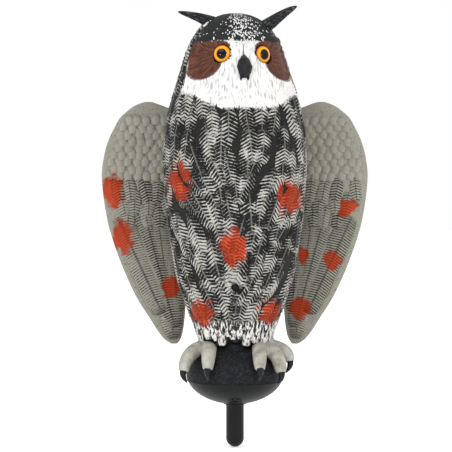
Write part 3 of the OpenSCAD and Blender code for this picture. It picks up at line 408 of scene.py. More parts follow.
def spray_spots(tree, colour, place, spots):
    """Sprays round spots over a colour, on the side that faces forward. A spot is its middle and its size."""
    rough = add(tree, "TexNoise", {"Vector": place, "Scale": grain_scale(11), "Detail": 4.0})
    nearest = None
    for middle, size in spots:
        local = add(
            tree, "Mapping", {"Vector": place, "Location": middle, "Scale": size}, vector_type="TEXTURE")
        away = add(tree, "VectorMath", {0: local}, out=1, operation="LENGTH")
        nearest = away if nearest is None else add(tree, "Math", {0: nearest, 1: away}, operation="MINIMUM")
    ragged = add(tree, "Math", {0: rough, 1: 1.7, 2: nearest}, operation="MULTIPLY_ADD")
    inside = add(
        tree, "MapRange", {0: ragged, 1: 1.9, 2: 1.5, 3: 0.0, 4: 0.94}, interpolation_type="SMOOTHSTEP")
    normal = add(tree, "SeparateXYZ", {0: add(tree, "TexCoord", out=1)}, out=1)
    facing = add(tree, "MapRange", {0: normal, 1: 0.25, 2: -0.1, 3: 0.0, 4: 1.0})
    amount = add(tree, "Math", {0: inside, 1: facing}, operation="MULTIPLY")
    depth = add(tree, "MapRange", {0: nearest, 1: 0.5, 2: 1.0, 3: 0.0, 4: 0.5})
    red = add(tree, "Mix", {0: depth, 6: paint(ORANGE), 7: paint(DEEP_RED)}, out=2, data_type="RGBA")
    dark = add(tree, "Mix", {0: 0.74, 6: red, 7: colour}, out=2, data_type="RGBA", blend_type="MULTIPLY")
    return add(tree, "Mix", {0: amount, 6: colour, 7: dark}, out=2, data_type="RGBA")


# middle and half size of each spot on the body, in metres
BODY_SPOTS = [
    ((-0.062, -0.045, 0.256), (0.015, 0.06, 0.024)), ((0.060, -0.045, 0.239), (0.017, 0.06, 0.021)),
    ((-0.002, -0.065, 0.181), (0.018, 0.04, 0.022)), ((-0.040, -0.045, 0.107), (0.018, 0.04, 0.018)),
    ((0.040, -0.045, 0.107), (0.017, 0.04, 0.017)),
]


def shell_paint():
    """Sprayed ABS shell: beard, dishes, crown and the dark ground under the feathers."""
    material, tree = start_material("sprayed ABS shell")
    place = add(tree, "TexCoord", out=3)
    fine = add(tree, "TexNoise", {"Vector": place, "Scale": grain_scale(3), "Detail": 4.0})
    ground = add(tree, "Mix", {0: fine, 6: paint("#0a0b0b"), 7: paint("#222321")}, out=2, data_type="RGBA")
    # white beard, ragged along its lower edge because the brush was drawn upwards
    hair = add(tree, "Mapping", {"Vector": place, "Scale": (1.0, 1.0, 0.16)})
    strands = add(tree, "TexNoise", {"Vector": hair, "Scale": grain_scale(2.2), "Detail": 3.0})
    bib = add(tree, "Attribute", out=2, attribute_name="bib")
    ragged = add(tree, "Math", {0: strands, 1: 16.0, 2: bib}, operation="MULTIPLY_ADD")
    bib_mask = add(tree, "MapRange", {0: ragged, 1: 7.4, 2: 8.6, 3: 0.0, 4: 1.0})
    groove = add(tree, "MapRange", {0: strands, 1: 0.34, 2: 0.5, 3: 0.0, 4: 1.0})
    white = add(tree, "Mix", {0: groove, 6: paint("#a9a8ab"), 7: paint("#dedddb")}, out=2, data_type="RGBA")
    colour = add(tree, "Mix", {0: bib_mask, 6: ground, 7: white}, out=2, data_type="RGBA")
    # brown dishes with rays that run out from each eye
    plane = add(tree, "Attribute", out=1, attribute_name="eye_plane")
    parts = add(tree, "SeparateXYZ", {0: plane}).node
    turn = add(tree, "Math", {0: parts.outputs[1], 1: parts.outputs[0]}, operation="ARCTAN2")
    reach = add(tree, "VectorMath", {0: plane}, out=1, operation="LENGTH")
    stretch = add(tree, "Math", {0: reach, 1: 0.008}, operation="MULTIPLY")
    ray_place = add(tree, "CombineXYZ", {0: turn, 1: stretch})
    rays = add(tree, "TexNoise", {"Vector": ray_place, "Scale": 11.0, "Detail": 3.0, "Roughness": 0.6})
    brown = add(tree, "ValToRGB", {0: rays})
    ramp = brown.node.color_ramp
    ramp.elements[0].position, ramp.elements[0].color = 0.36, paint("#36201a")
    ramp.elements[1].position, ramp.elements[1].color = 0.66, paint("#6b3e2d")
    dish = add(tree, "Attribute", out=2, attribute_name="dish")
    ragged_dish = add(tree, "Math", {0: rays, 1: 4.0, 2: dish}, operation="MULTIPLY_ADD")
    dish_mask = add(tree, "MapRange", {0: ragged_dish, 1: 1.7, 2: 2.7, 3: 0.0, 4: 1.0})
    colour = add(tree, "Mix", {0: dish_mask, 6: colour, 7: brown}, out=2, data_type="RGBA")
    edge = add(tree, "MapRange", {0: ragged_dish, 1: 4.4, 2: 3.6, 3: 0.0, 4: 1.0})
    below = add(tree, "MapRange", {0: parts.outputs[1], 1: -3.0, 2: -9.0, 3: 0.0, 4: 1.0})
    flecks = add(tree, "MapRange", {0: strands, 1: 0.46, 2: 0.54, 3: 0.0, 4: 0.75})
    for share in (below, flecks, dish_mask):
        edge = add(tree, "Math", {0: edge, 1: share}, operation="MULTIPLY")
    colour = add(tree, "Mix", {0: edge, 6: colour, 7: paint("#b9b2ac")}, out=2, data_type="RGBA")
    lid = add(tree, "MapRange", {0: reach, 1: 12.3, 2: 11.6, 3: 0.0, 4: 1.0})
    colour = add(tree, "Mix", {0: lid, 6: colour, 7: paint("#2a1812")}, out=2, data_type="RGBA")
    # black crown flicked with short white dashes, thickest in the middle
    dashes = add(tree, "Mapping", {"Vector": place, "Scale": (1.0, 1.0, 0.5)})
    cells = add(tree, "TexVoronoi", {"Vector": dashes, "Scale": grain_scale(2.0), "Randomness": 1.0})
    chance = add(tree, "SeparateXYZ", {0: cells.node.outputs[1]})
    spread = add(tree, "Attribute", out=2, attribute_name="spread")
    limit = add(tree, "MapRange", {0: spread, 1: 6.0, 2: 34.0, 3: 0.1, 4: 0.93})
    chosen = add(tree, "Math", {0: chance, 1: limit}, operation="GREATER_THAN")
    dot = add(tree, "MapRange", {0: cells, 1: 0.5, 2: 0.38, 3: 0.0, 4: 1.0})
    fleck = add(tree, "Math", {0: chosen, 1: dot}, operation="MULTIPLY")
    crown_black = add(
        tree, "Mix", {0: fine, 6: paint("#101112"), 7: paint("#2a2b2c")}, out=2, data_type="RGBA")
    crown_paint = add(tree, "Mix", {0: fleck, 6: crown_black, 7: paint("#d9d9d8")}, out=2, data_type="RGBA")
    crown = add(tree, "Attribute", out=2, attribute_name="crown")
    ragged_crown = add(tree, "Math", {0: strands, 1: 4.0, 2: crown}, operation="MULTIPLY_ADD")
    crown_mask = add(tree, "MapRange", {0: ragged_crown, 1: 1.4, 2: 2.6, 3: 0.0, 4: 1.0})
    colour = add(tree, "Mix", {0: crown_mask, 6: colour, 7: crown_paint}, out=2, data_type="RGBA")
    height = add(tree, "Math", {0: strands, 1: rays}, operation="ADD")
    bump = add(tree, "Bump", {"Strength": 0.5, "Distance": 0.0006, "Height": height})
    finish_material(tree, Base_Color=colour, Roughness=0.62, Normal=bump)
    return material


shell_material = shell_paint()

# %% [markdown]
# ## Front and back shell
# One ball is shaped into the whole owl, with more rings in the head than in
# the belly. It is then cut at the seam plane, as the mould parts there, and
# each half is given its wall with Solidify. Cutting one form is safer than
# modelling two, because the two edges are sure to meet.

# %% Shells
HEAD_RINGS, BELLY_RINGS = 92, 66
HEAD_FOOT_Z = 332       # rings are close together above this height
SIDES = 224
WALL = 2.4 * MM


def ring_height(polar):
    """Height of a ring of the ball, from its angle at the top pole."""
    ring = polar / math.pi * (HEAD_RINGS + BELLY_RINGS)
    if ring < HEAD_RINGS:
        share = ring / HEAD_RINGS
        return TOP_Z - (TOP_Z - HEAD_FOOT_Z) * share ** 1.25
    return HEAD_FOOT_Z - (HEAD_FOOT_Z - FOOT_Z) * (ring - HEAD_RINGS) / (BELLY_RINGS - 1)


def owl_form():
    """The whole owl's skin with its face, and the painter's attributes."""
    bm = bmesh.new()
    bmesh.ops.create_uvsphere(bm, u_segments=SIDES, v_segments=HEAD_RINGS + BELLY_RINGS, radius=1)
    bmesh.ops.delete(bm, geom=[v for v in bm.verts if v.co.z < -0.99999], context="VERTS")
    layers = {name: bm.verts.layers.float.new(name) for name in ("dish", "bib", "crown", "spread")}
    plane = bm.verts.layers.float_vector.new("eye_plane")
    for v in bm.verts:
        z = ring_height(math.acos(max(-1, min(1, v.co.z))))
        angle = math.atan2(v.co.x, -v.co.y)
        here, outward, _ = body_frame(angle, min(z, TOP_Z - 0.05))
        s, t = face_place(here)
        forward = math.cos(angle) > -0.05
        v.co = (here + outward * (face_relief(s, t) if forward else 0.0)) * MM
        v[layers["dish"]] = dish_inset(s, t) if forward else -20.0
        v[layers["bib"]] = bib_inset(s, t) if forward else -20.0
        v[layers["crown"]] = t - BROW_T
        v[layers["spread"]] = abs(s) if forward else 60.0
        v[plane] = (*eye_offset(s, t), 0.0) if forward else (50.0, 50.0, 0.0)
    return bm


def half_of(bm, side):
    """Keeps the half on the side of -Y (-1) or +Y (+1) of the seam plane, and draws its edge in a little."""
    skin = bm.verts[:] + bm.edges[:] + bm.faces[:]
    bmesh.ops.bisect_plane(bm, geom=skin, plane_co=(0, 0, 0), plane_no=(0, side, 0), clear_inner=True)
    for v in bm.verts:
        if abs(v.co.y) < 0.2 * MM:
            v.co.x *= 1 - 0.5 * MM / max(abs(v.co.x), 5 * MM)


def eye_axis(side):
    """The point on the head's axis behind an eye, in metres, and the eye's direction."""
    turn = HEAD_TURN + side * EYE_S / HEAD_R
    return Vector((0, 0, EYE_Z * MM)), Vector((math.sin(turn), -math.cos(turn), 0))


EYE_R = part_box("right_eye_lens")[1].z - EYE_Z * MM
belly_screw = [(a + b) / 2 for a, b in zip(*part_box("belly_screw"))]

form = owl_form()
half_of(form, -1)
for side in (-1, 1):
    middle, direction = eye_axis(side)
    punch(form, middle, direction, EYE_R + 0.3 * MM)
punch(form, (0, 0, belly_screw[2]), (0, -1, 0), 4.5 * MM)
front_shell = make_piece(
    "front_shell", form, shell_material, replaces=["body_front_shell"])
add_modifier(front_shell, "SOLIDIFY", thickness=WALL, offset=-1)

# %% [markdown]
# ## Openings in the back
# The hatch frame, the power button and the shell screws come through the back
# shell. The rectangle is cut with four bisecting planes, so its edges are
# straight, and the round holes are punched.

# %% Back shell
frame_low, frame_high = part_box("hatch_frame")
FRAME_LAP = 1.5 * MM    # the frame covers the opening's edge by this much
BUTTON_GAP = 0.4 * MM
SCREW_HOLE_R = 3.8 * MM
button_low, button_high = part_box("power_button")


def cut_rectangle(bm, x, z1, z2):
    """Cuts a rectangular opening through the back, seen along Y."""
    sides = [((x, 0, 0), (1, 0, 0)), ((-x, 0, 0), (1, 0, 0)),
             ((0, 0, z1), (0, 0, 1)), ((0, 0, z2), (0, 0, 1))]
    for place, normal in sides:
        skin = bm.verts[:] + bm.edges[:] + bm.faces[:]
        bmesh.ops.bisect_plane(bm, geom=skin, plane_co=place, plane_no=normal)
    gone = []
    for face in bm.faces:
        middle = face.calc_center_median()
        if abs(middle.x) < x and z1 < middle.z < z2:
            gone.append(face)
    bmesh.ops.delete(bm, geom=gone, context="FACES")


SHELL_SCREWS = [(68, 262), (42, 372), (44, 112)]
form = owl_form()
half_of(form, 1)
cut_rectangle(form, frame_high.x - FRAME_LAP, frame_low.z + FRAME_LAP, frame_high.z - FRAME_LAP)
button_r = (button_high.x - button_low.x) / 2
punch(form, (0, 0, (button_low.z + button_high.z) / 2), (0, 1, 0), button_r + BUTTON_GAP)
for x, z in SHELL_SCREWS:
    for side in (-1, 1):
        punch(form, (side * x * MM, 0, z * MM), (0, 1, 0), SCREW_HOLE_R)
back_shell = make_piece("back_shell", form, shell_material, replaces=["body_back_shell"])
add_modifier(back_shell, "SOLIDIFY", thickness=WALL, offset=-1)

# %% [markdown]
# ## Feather paint
# Each moulded feather has ridges for its barbs. The painter sprays it black
# and drags a nearly dry white brush across, so the ridges turn white and the
# grooves stay black. The mesh carries an attribute that is 1 on a ridge and 0
# in a groove, so the paint lands exactly where a real brush would put it.


# %% Feather paint
def feather_paint(name, ridge_hex, shade_hex, groove_hex, line_hex, spots, cover, patches, root_shadow_level):
    """Brushed feather relief.

    cover is the height on a ridge where the brush starts to touch, patches is how much it misses in
    places, the last argument is the share of the brushed colour left at the root, which is darkened there as
    painted shadow under the feather above, and line_hex colours the shaft and the tip."""
    material, tree = start_material(name)
    place = add(tree, "TexCoord", out=3)
    grit = add(tree, "TexNoise", {"Vector": place, "Scale": grain_scale(2.2), "Detail": 4.0})
    cloud = add(tree, "TexNoise", {"Vector": place, "Scale": grain_scale(17), "Detail": 3.0})
    ridge = add(tree, "Attribute", out=2, attribute_name="ridge")
    along = add(tree, "Attribute", out=2, attribute_name="along")
    across = add(tree, "Attribute", out=2, attribute_name="across")
    tone = add(tree, "Attribute", out=2, attribute_name="tone")
    uneven = add(tree, "Math", {0: grit, 1: 0.9, 2: ridge}, operation="MULTIPLY_ADD")
    missed = add(tree, "MapRange", {0: cloud, 1: 0.62, 2: 0.44, 3: 0.0, 4: -patches})
    level = add(tree, "Math", {0: tone, 1: 0.3, 2: uneven}, operation="MULTIPLY_ADD")
    level = add(tree, "Math", {0: level, 1: missed}, operation="ADD")
    touched = add(tree, "MapRange", {0: level, 1: cover + 0.34, 2: cover + 0.62, 3: 0.0, 4: 1.0})
    # painted shadow: near the root, under the feather above, the brushed colour is darkened to the last
    # argument's share
    root = add(tree, "MapRange", {0: along, 1: 0.08, 2: 0.3, 3: root_shadow_level, 4: 1.0})
    brushed = add(tree, "Math", {0: touched, 1: root}, operation="MULTIPLY")
    pale = add(tree, "Mix", {0: cloud, 6: paint(ridge_hex), 7: paint(shade_hex)}, out=2, data_type="RGBA")
    colour = add(tree, "Mix", {0: brushed, 6: paint(groove_hex), 7: pale}, out=2, data_type="RGBA")
    shaft = add(tree, "MapRange", {0: across, 1: 0.09, 2: 0.04, 3: 0.0, 4: 0.6})
    tip = add(tree, "MapRange", {0: along, 1: 0.9, 2: 0.99, 3: 0.0, 4: 0.6})
    line = add(tree, "Math", {0: shaft, 1: tip}, operation="MAXIMUM")
    # the shaft and tip lines fade into the same painted shadow at the root
    line = add(tree, "Math", {0: line, 1: root}, operation="MULTIPLY")
    colour = add(tree, "Mix", {0: line, 6: colour, 7: paint(line_hex)}, out=2, data_type="RGBA")
    # the vane's edge darkens to the groove colour: painted shade where it dips into the skin, and on the
    # wings also the black wash in the outline
    rim = add(tree, "MapRange", {0: across, 1: 0.9, 2: 0.99, 3: 0.0, 4: 0.7})
    colour = add(tree, "Mix", {0: rim, 6: colour, 7: paint(groove_hex)}, out=2, data_type="RGBA")
    # down on the thighs: white hairs drawn straight down
    height = add(tree, "SeparateXYZ", {0: place}, out=2)
    hairs_place = add(tree, "Mapping", {"Vector": place, "Scale": (1.0, 1.0, 0.1)})
    hairs = add(tree, "TexNoise", {"Vector": hairs_place, "Scale": grain_scale(2.4), "Detail": 2.0})
    lower = add(tree, "MapRange", {0: height, 1: 0.1, 2: 0.07, 3: 0.0, 4: 0.16})
    lowered = add(tree, "Math", {0: hairs, 1: lower})
    hair = add(tree, "MapRange", {0: lowered, 1: 0.53, 2: 0.62, 3: 0.0, 4: 1.0})
    down = add(tree, "Mix", {0: hair, 6: paint("#2c2c2a"), 7: paint("#dcdad4")}, out=2, data_type="RGBA")
    thigh = add(tree, "MapRange", {0: height, 1: 0.102, 2: 0.094, 3: 0.0, 4: 1.0})
    depth = add(tree, "SeparateXYZ", {0: place}, out=1)
    body_side = add(tree, "MapRange", {0: depth, 1: 0.044, 2: 0.04, 3: 0.0, 4: 1.0})
    thigh = add(tree, "Math", {0: thigh, 1: body_side}, operation="MULTIPLY")
    if name.startswith("dry"):
        colour = add(tree, "Mix", {0: thigh, 6: colour, 7: down}, out=2, data_type="RGBA")
    bib = add(tree, "Attribute", out=2, attribute_name="bib")
    ragged = add(tree, "Math", {0: grit, 1: 11.0, 2: bib}, operation="MULTIPLY_ADD")
    white = add(tree, "MapRange", {0: ragged, 1: 3.0, 2: 7.0, 3: 0.0, 4: 1.0})
    colour = add(tree, "Mix", {0: white, 6: colour, 7: paint("#d8d7d5")}, out=2, data_type="RGBA")
    colour = spray_spots(tree, colour, place, spots)
    bump = add(tree, "Bump", {"Strength": 0.35, "Distance": 0.0004, "Height": grit})
    finish_material(tree, Base_Color=colour, Roughness=0.62, Normal=bump)
    return material


body_feather_material = feather_paint(
    "dry-brushed ABS feathers", "#cccac3", "#96948d", "#121313", "#7b7a75", BODY_SPOTS, 0.38, 0.6, 0.1)

# %% [markdown]
# ## One feather
# A feather is a small grid: four faces across and two for each barb, one up to
# the ridge and one down into the groove. The rows slope away from the shaft,
# so the barbs point outwards and down. The row edges are marked sharp, which
# keeps the barbs crisp while the feather stays smooth across. The same grid,
# bent onto the body, the tail or a wing, makes every feather of the owl.

# %% Feather grid
COLUMNS = {0: 0.0, 1: 0.6, 2: 1.0}      # place across the vane of the shaft, middle and edge
LAYER_NAMES = ("ridge", "along", "across", "tone", "bib")


def feather_bmesh():
    """A bmesh with the attributes that the feather paint reads."""
    bm = bmesh.new()
    for name in LAYER_NAMES:
        bm.verts.layers.float.new(name)
    return bm


def vane_width(share, blunt):
    """Half width of the vane at a share of the length, for a feather one unit wide."""
    narrow = 0.4 if blunt < 2.5 else 0.8
    root = narrow + (1 - narrow) * fade(0, 0.36, share)
    end = max(0.0, (share - 0.5) / 0.5)
    return 0.5 * root * max(0.0, 1 - end ** blunt) ** 0.5


def add_feather(bm, place, length, width, barbs, lift, slope=0.5, crown=1.1, relief=0.4, blunt=2.2, bib=None):
    """Adds one feather. place(across, down, height) gives a point in metres from millimetres.

    A feather without relief is a plain scale with a painted edge."""
    layer = {name: bm.verts.layers.float[name] for name in LAYER_NAMES}
    rows = 2 * barbs
    grid = bmesh.ops.create_grid(bm, x_segments=4, y_segments=rows, size=0.5)["verts"]
    tone = random.uniform(-0.5, 0.5)
    number = {}
    for v in grid:
        column = round(v.co.x * 4)
        row = round((0.5 - v.co.y) * rows)
        number[v] = row
        share = row / rows
        across = math.copysign(COLUMNS[abs(column)], column) if column else 0.0
        out = across * vane_width(share, blunt) * width
        barb = relief / 2 if row % 2 else -relief / 2
        up = lift * (0.12 + 0.88 * share) + crown * (1 - across * across) + barb
        if abs(column) == 2 or row == rows:
            up = -0.7
        down = share * length + slope * abs(out) + random.uniform(-0.2, 0.2) * relief
        v[layer["ridge"]] = float(row % 2) if relief else 0.75
        v[layer["along"]] = share
        v[layer["across"]] = abs(across) if relief else max(0.2, abs(across))
        v[layer["tone"]] = tone
        point = place(out, down, up)
        v[layer["bib"]] = bib(point) if bib else -20.0
        v.co = point
    for edge in {e for v in grid for e in v.link_edges}:
        edge.smooth = number[edge.verts[0]] != number[edge.verts[1]]
    return grid


def on_body(angle, z, lean):
    """Bends a feather onto the body, from its root at an angle and height."""

    def place(out, down, up):
        aside = out * math.cos(lean) + down * math.sin(lean)
        below = down * math.cos(lean) - out * math.sin(lean)
        arc = body_frame(angle, z - below * 0.5)[2]
        here, outward, _ = body_frame(angle + aside / max(arc, 12), max(z - below, FOOT_Z - 6))
        return (here + outward * up) * MM

    return place


# %% [markdown]
# ## Plumage
# Rows of feathers are laid from the foot of the body upwards in the real
# moulding, and each row covers the roots of the one below. Laying them by a
# loop with a little seeded disorder looks like the sculptor's hand, where a
# particle system would be hard to keep clear of the face and the hatch.

# %% Plumage rows
# top of the zone, length, width and barbs of its feathers, in millimetres
FEATHER_SIZES = [
    (446, 12, 8, 3), (415, 16, 9.5, 4), (378, 24, 13, 6), (366, 40, 21, 10),
    (326, 50, 25, 13), (200, 46, 23, 12), (128, 34, 15, 8), (101, 30, 6, 3),
]


def size_at(z):
    """Length, width and barbs of the feathers rooted at a height."""
    chosen = FEATHER_SIZES[0]
    for row in FEATHER_SIZES:
        if z <= row[0]:
            chosen = row
    return chosen[1:]


def is_plumed(angle, z):
    """True where a feather may be rooted: not on the face, the crown, the hatch or the button."""
    here = body_point(angle, z)
    s, t = face_place(here)
    if math.cos(angle) > -0.1:
        if bib_inset(s, t) > 24 or dish_inset(s, t) > -4:
            return False
        if t > BROW_T - 14 and abs(s) < FACE_SIDE + 5:
            return False
    if here.y > 0:
        if abs(here.x) < 44 and frame_low.z / MM - 2 < z < frame_high.z / MM + 10:
            return False
        if abs(here.x) < 13 and z < 300 and z > 262:
            return False
    return True


def bib_at(point):
    """The white of the chest at a point in metres, for a feather's paint."""
    co = point / MM
    if co.y > 0:
        return -20.0
    return bib_inset(*face_place(co))


def plume_body():
    """All feathers of the body, front and back."""
    front, back = feather_bmesh(), feather_bmesh()
    z, row = 446.0, 0
    while z > 92:
        length, width, barbs = size_at(z)
        arc = sum(body_frame(a, z)[2] for a in (0.3, 1.2, 2.0, 2.9)) / 4
        count = max(6, round(2 * math.pi * arc / (width * 0.86)))
        for k in range(count):
            angle = (k + 0.5 * (row % 2) + random.uniform(-0.17, 0.17)) * 2 * math.pi / count - math.pi
            root = z + random.uniform(-0.1, 0.1) * length
            tilt = random.uniform(-0.3, 0.3)
            grow = random.uniform(0.88, 1.12)
            if not is_plumed(angle, root):
                continue
            forward = math.cos(angle) > 0
            pull = fade(330, 285, root) * fade(84, 120, root) * math.sin(2 * min(abs(angle), math.pi / 2))
            lean = tilt - math.copysign(0.5 * pull if forward else 0.1, angle)
            if 128 > root > 80 and forward:
                lean *= 0.3
            add_feather(
                front if forward else back, on_body(angle, root, lean), length * grow, width * grow, barbs,
                lift=1.3 if forward else 0.9, crown=1.1 if length > 20 else 0.6,
                relief=0.45 if length > 20 else 0.3, bib=bib_at)
        z -= length * 0.5
        row += 1
    return front, back


front_feathers, back_feathers = plume_body()
punch(front_feathers, (0, 0, belly_screw[2]), (0, -1, 0), 4.9 * MM)
make_piece("breast_feathers", front_feathers, body_feather_material)
make_piece("mantle_feathers", back_feathers, body_feather_material)

# %% [markdown]
# ## Round bars and turned parts
# Two helpers make most of what is left. A bar starts as one circle that is
# extruded from place to place along a path, as one would do by hand with E
# and S. A turned part is a profile spun about an axis, like work on a lathe.


# %% Bar and lathe helpers
def ring_matrix(path, i, radius, flat, across):
    """Places a unit circle at point i of a path, square to it."""
    ahead = (path[min(i + 1, len(path) - 1)] - path[max(i - 1, 0)]).normalized()
    side = across.cross(ahead).normalized()
    other = ahead.cross(side)
    turn = Matrix((side, other, ahead)).transposed().to_4x4()
    return Matrix.Translation(path[i]) @ turn @ Matrix.Diagonal((radius * flat, radius, radius, 1))


def add_bar(bm, path, radii, flat=1.0, across=(1, 0, 0), sides=12):
    """Adds a closed round bar along a path in millimetres. flat squeezes it across its path."""
    path = [Vector(p) * MM for p in path]
    across = Vector(across)
    spread = [ring_matrix(path, i, r * MM, flat, across) for i, r in enumerate(radii)]
    ring = bmesh.ops.create_circle(bm, cap_ends=True, segments=sides, radius=1)["verts"]
    bmesh.ops.transform(bm, matrix=spread[0], verts=ring)
    made = list(ring)
    for before, after in zip(spread, spread[1:]):
        edges = {e for v in ring for e in v.link_edges if all(w in ring for w in e.verts)}
        grown = bmesh.ops.extrude_edge_only(bm, edges=list(edges))["geom"]
        ring = [g for g in grown if isinstance(g, bmesh.types.BMVert)]
        bmesh.ops.transform(bm, matrix=after @ before.inverted(), verts=ring)
        made += ring
    edges = {e for v in ring for e in v.link_edges if all(w in ring for w in e.verts)}
    bmesh.ops.contextual_create(bm, geom=list(edges))
    bmesh.ops.recalc_face_normals(bm, faces=list({f for v in made for f in v.link_faces}))
    return made


def add_turned(bm, profile, centre, axis, steps=64):
    """Spins a profile of (radius, height) points, in millimetres, round an axis through centre."""
    turn = Vector((0, 0, 1)).rotation_difference(Vector(axis)).to_matrix().to_4x4()
    line = [bm.verts.new((r * MM, 0, h * MM)) for r, h in profile]
    edges = [bm.edges.new(pair) for pair in zip(line, line[1:])]
    bmesh.ops.spin(
        bm, geom=line + edges, cent=(0, 0, 0), axis=(0, 0, 1), dvec=(0, 0, 0), angle=2 * math.pi, steps=steps,
        use_merge=True, use_duplicate=False)
    reached, front = set(line), list(line)
    while front:
        v = front.pop()
        for e in v.link_edges:
            w = e.other_vert(v)
            if w not in reached:
                reached.add(w)
                front.append(w)
    bmesh.ops.remove_doubles(bm, verts=list(reached), dist=0.00001)
    made = [v for v in reached if v.is_valid]
    bmesh.ops.transform(bm, matrix=Matrix.Translation(Vector(centre) * MM) @ turn, verts=made)
    bmesh.ops.recalc_face_normals(bm, faces=list({f for v in made for f in v.link_faces}))
    return made


def arc_points(radius_x, radius_y, start, end, steps, middle=(0, 0)):
    """Points on an oval arc, in degrees."""
    angles = [math.radians(start + (end - start) * i / steps) for i in range(steps + 1)]
    return [(middle[0] + radius_x * math.cos(a), middle[1] + radius_y * math.sin(a)) for a in angles]


# %% [markdown]
# ## Tail
# A short wedge of seven long feathers behind the perch. The core is a
# flattened bar, and the feathers lie on its back in a fan.

# %% Tail
TAIL_PATH = [(0, 38, 150), (0, 50, 128), (0, 58, 104), (0, 64, 82), (0, 66.5, 66)]
TAIL_WIDTH = [28, 31, 32, 30, 24]
bm = bmesh.new()
add_bar(bm, TAIL_PATH, [5, 6.5, 6.5, 5.5, 3], sides=20)
low, high = TAIL_PATH[-1][2] * MM, TAIL_PATH[0][2] * MM
tail_width = Table(sorted((p[2], w) for p, w in zip(TAIL_PATH, TAIL_WIDTH)))
for v in bm.verts:
    v.co.x *= tail_width.at(v.co.z / MM)[0] / 6
tail_core = make_piece("tail_core", bm, shell_material, replaces=["tail_fan"])
add_modifier(tail_core, "SUBSURF", levels=1, render_levels=1)
tail_y = Table(sorted((p[2], p[1]) for p in TAIL_PATH))


def on_tail(x, z, lean):
    """Lays a feather on the back of the tail."""

    def place(out, down, up):
        aside = out * math.cos(lean) + down * math.sin(lean)
        below = down * math.cos(lean) - out * math.sin(lean)
        here = x + aside
        bow = 4.6 * (1 - (here / 36) ** 2)
        return Vector((here, tail_y.at(z - below)[0] + bow + up * 0.9, z - below)) * MM

    return place


bm = feather_bmesh()
for k in (-3, 3, -2, 2, -1, 1, 0):
    add_feather(
        bm, on_tail(k * 6.4, 140, k * 0.035), 80 - abs(k) * 3.5, 17, 22, 0.6 + 0.4 * (3 - abs(k)),
        slope=0.55, blunt=4)
make_piece("tail_feathers", bm, body_feather_material)

# %% [markdown]
# ## Wing paint
# The wings are moulded in grey plastic and only washed with black, so the
# colour stays in the engraved lines. The orange spots are sprayed on the front
# faces alone.

# %% Wing paint
# middle and half size of each spot on the wings, in metres
WING_SPOTS = [
    ((-0.144, 0.05, 0.245), (0.015, 0.08, 0.022)), ((-0.133, 0.05, 0.191), (0.016, 0.08, 0.021)),
    ((-0.076, 0.05, 0.133), (0.013, 0.08, 0.016)), ((0.134, 0.05, 0.226), (0.013, 0.08, 0.013)),
    ((0.115, 0.05, 0.165), (0.013, 0.08, 0.013)), ((0.082, 0.05, 0.171), (0.008, 0.08, 0.012)),
    ((0.078, 0.05, 0.109), (0.014, 0.08, 0.015)),
]
wing_feather_material = feather_paint(
    "black-washed grey plastic", "#98968a", "#858379", "#1d1c19", "#24231f", WING_SPOTS, 0.2, 0.16, 0.8)


def wing_rim_paint():
    """Bare grey wing plastic with fine flecks of wash."""
    material, tree = start_material("grey moulded wing")
    place = add(tree, "TexCoord", out=3)
    fleck = add(tree, "TexNoise", {"Vector": place, "Scale": grain_scale(1.2), "Detail": 3.0})
    dirt = add(tree, "MapRange", {0: fleck, 1: 0.3, 2: 0.46, 3: 0.0, 4: 1.0})
    colour = add(tree, "Mix", {0: dirt, 6: paint("#504f48"), 7: paint("#8f8d82")}, out=2, data_type="RGBA")
    colour = spray_spots(tree, colour, place, WING_SPOTS)
    bump = add(tree, "Bump", {"Strength": 0.3, "Distance": 0.0004, "Height": fleck})
    finish_material(tree, Base_Color=colour, Roughness=0.5, Normal=bump)
    return material


wing_rim_material = wing_rim_paint()

# %% [markdown]
# ## Wings
# Each wing is a thin lens-shaped panel that leans forward towards its outer
# edge. A ball is pressed into the outline, and small, middle and long feathers
# are laid on both faces inside a smooth rim. The pad over the hub belongs to
# the panel, so it rides on the same body.

# %% Wing outline
# height, inner edge and outer edge from the owl's middle plane, in millimetres
WING = [
    (64.5, 69, 76), (70, 65, 84), (80, 62, 92), (96, 60, 102), (124, 58, 119), (167, 55, 137.5),
    (211, 51, 151), (261, 44, 157.8), (290, 38, 155), (308, 35, 150), (322, 36, 143.5),
    (334, 42, 137), (341, 60, 130), (347.5, 80, 122), (351.5, 91, 114.5), (354, 99, 107),
]
wing_table = Table(WING)
WING_T = 6.6
SHOULDER_Z = 319
SHOULDER_X = 49.5


def wing_middle(x):
    """Y of the panel's middle surface at a distance from the middle plane."""
    return 61 - 0.2 * (x - 35) + WING_T / 2 + 0.2


def wing_thickness(x, z):
    """Half thickness of the panel at a place."""
    inner, outer = wing_table.at(z)
    u = (x - inner) / max(outer - inner, 1)
    full = min(WING_T, 2.4 + (outer - inner) * 0.1) / 2
    return full * max(0.0, 1 - abs(2 * u - 1) ** 2.6) ** 0.5


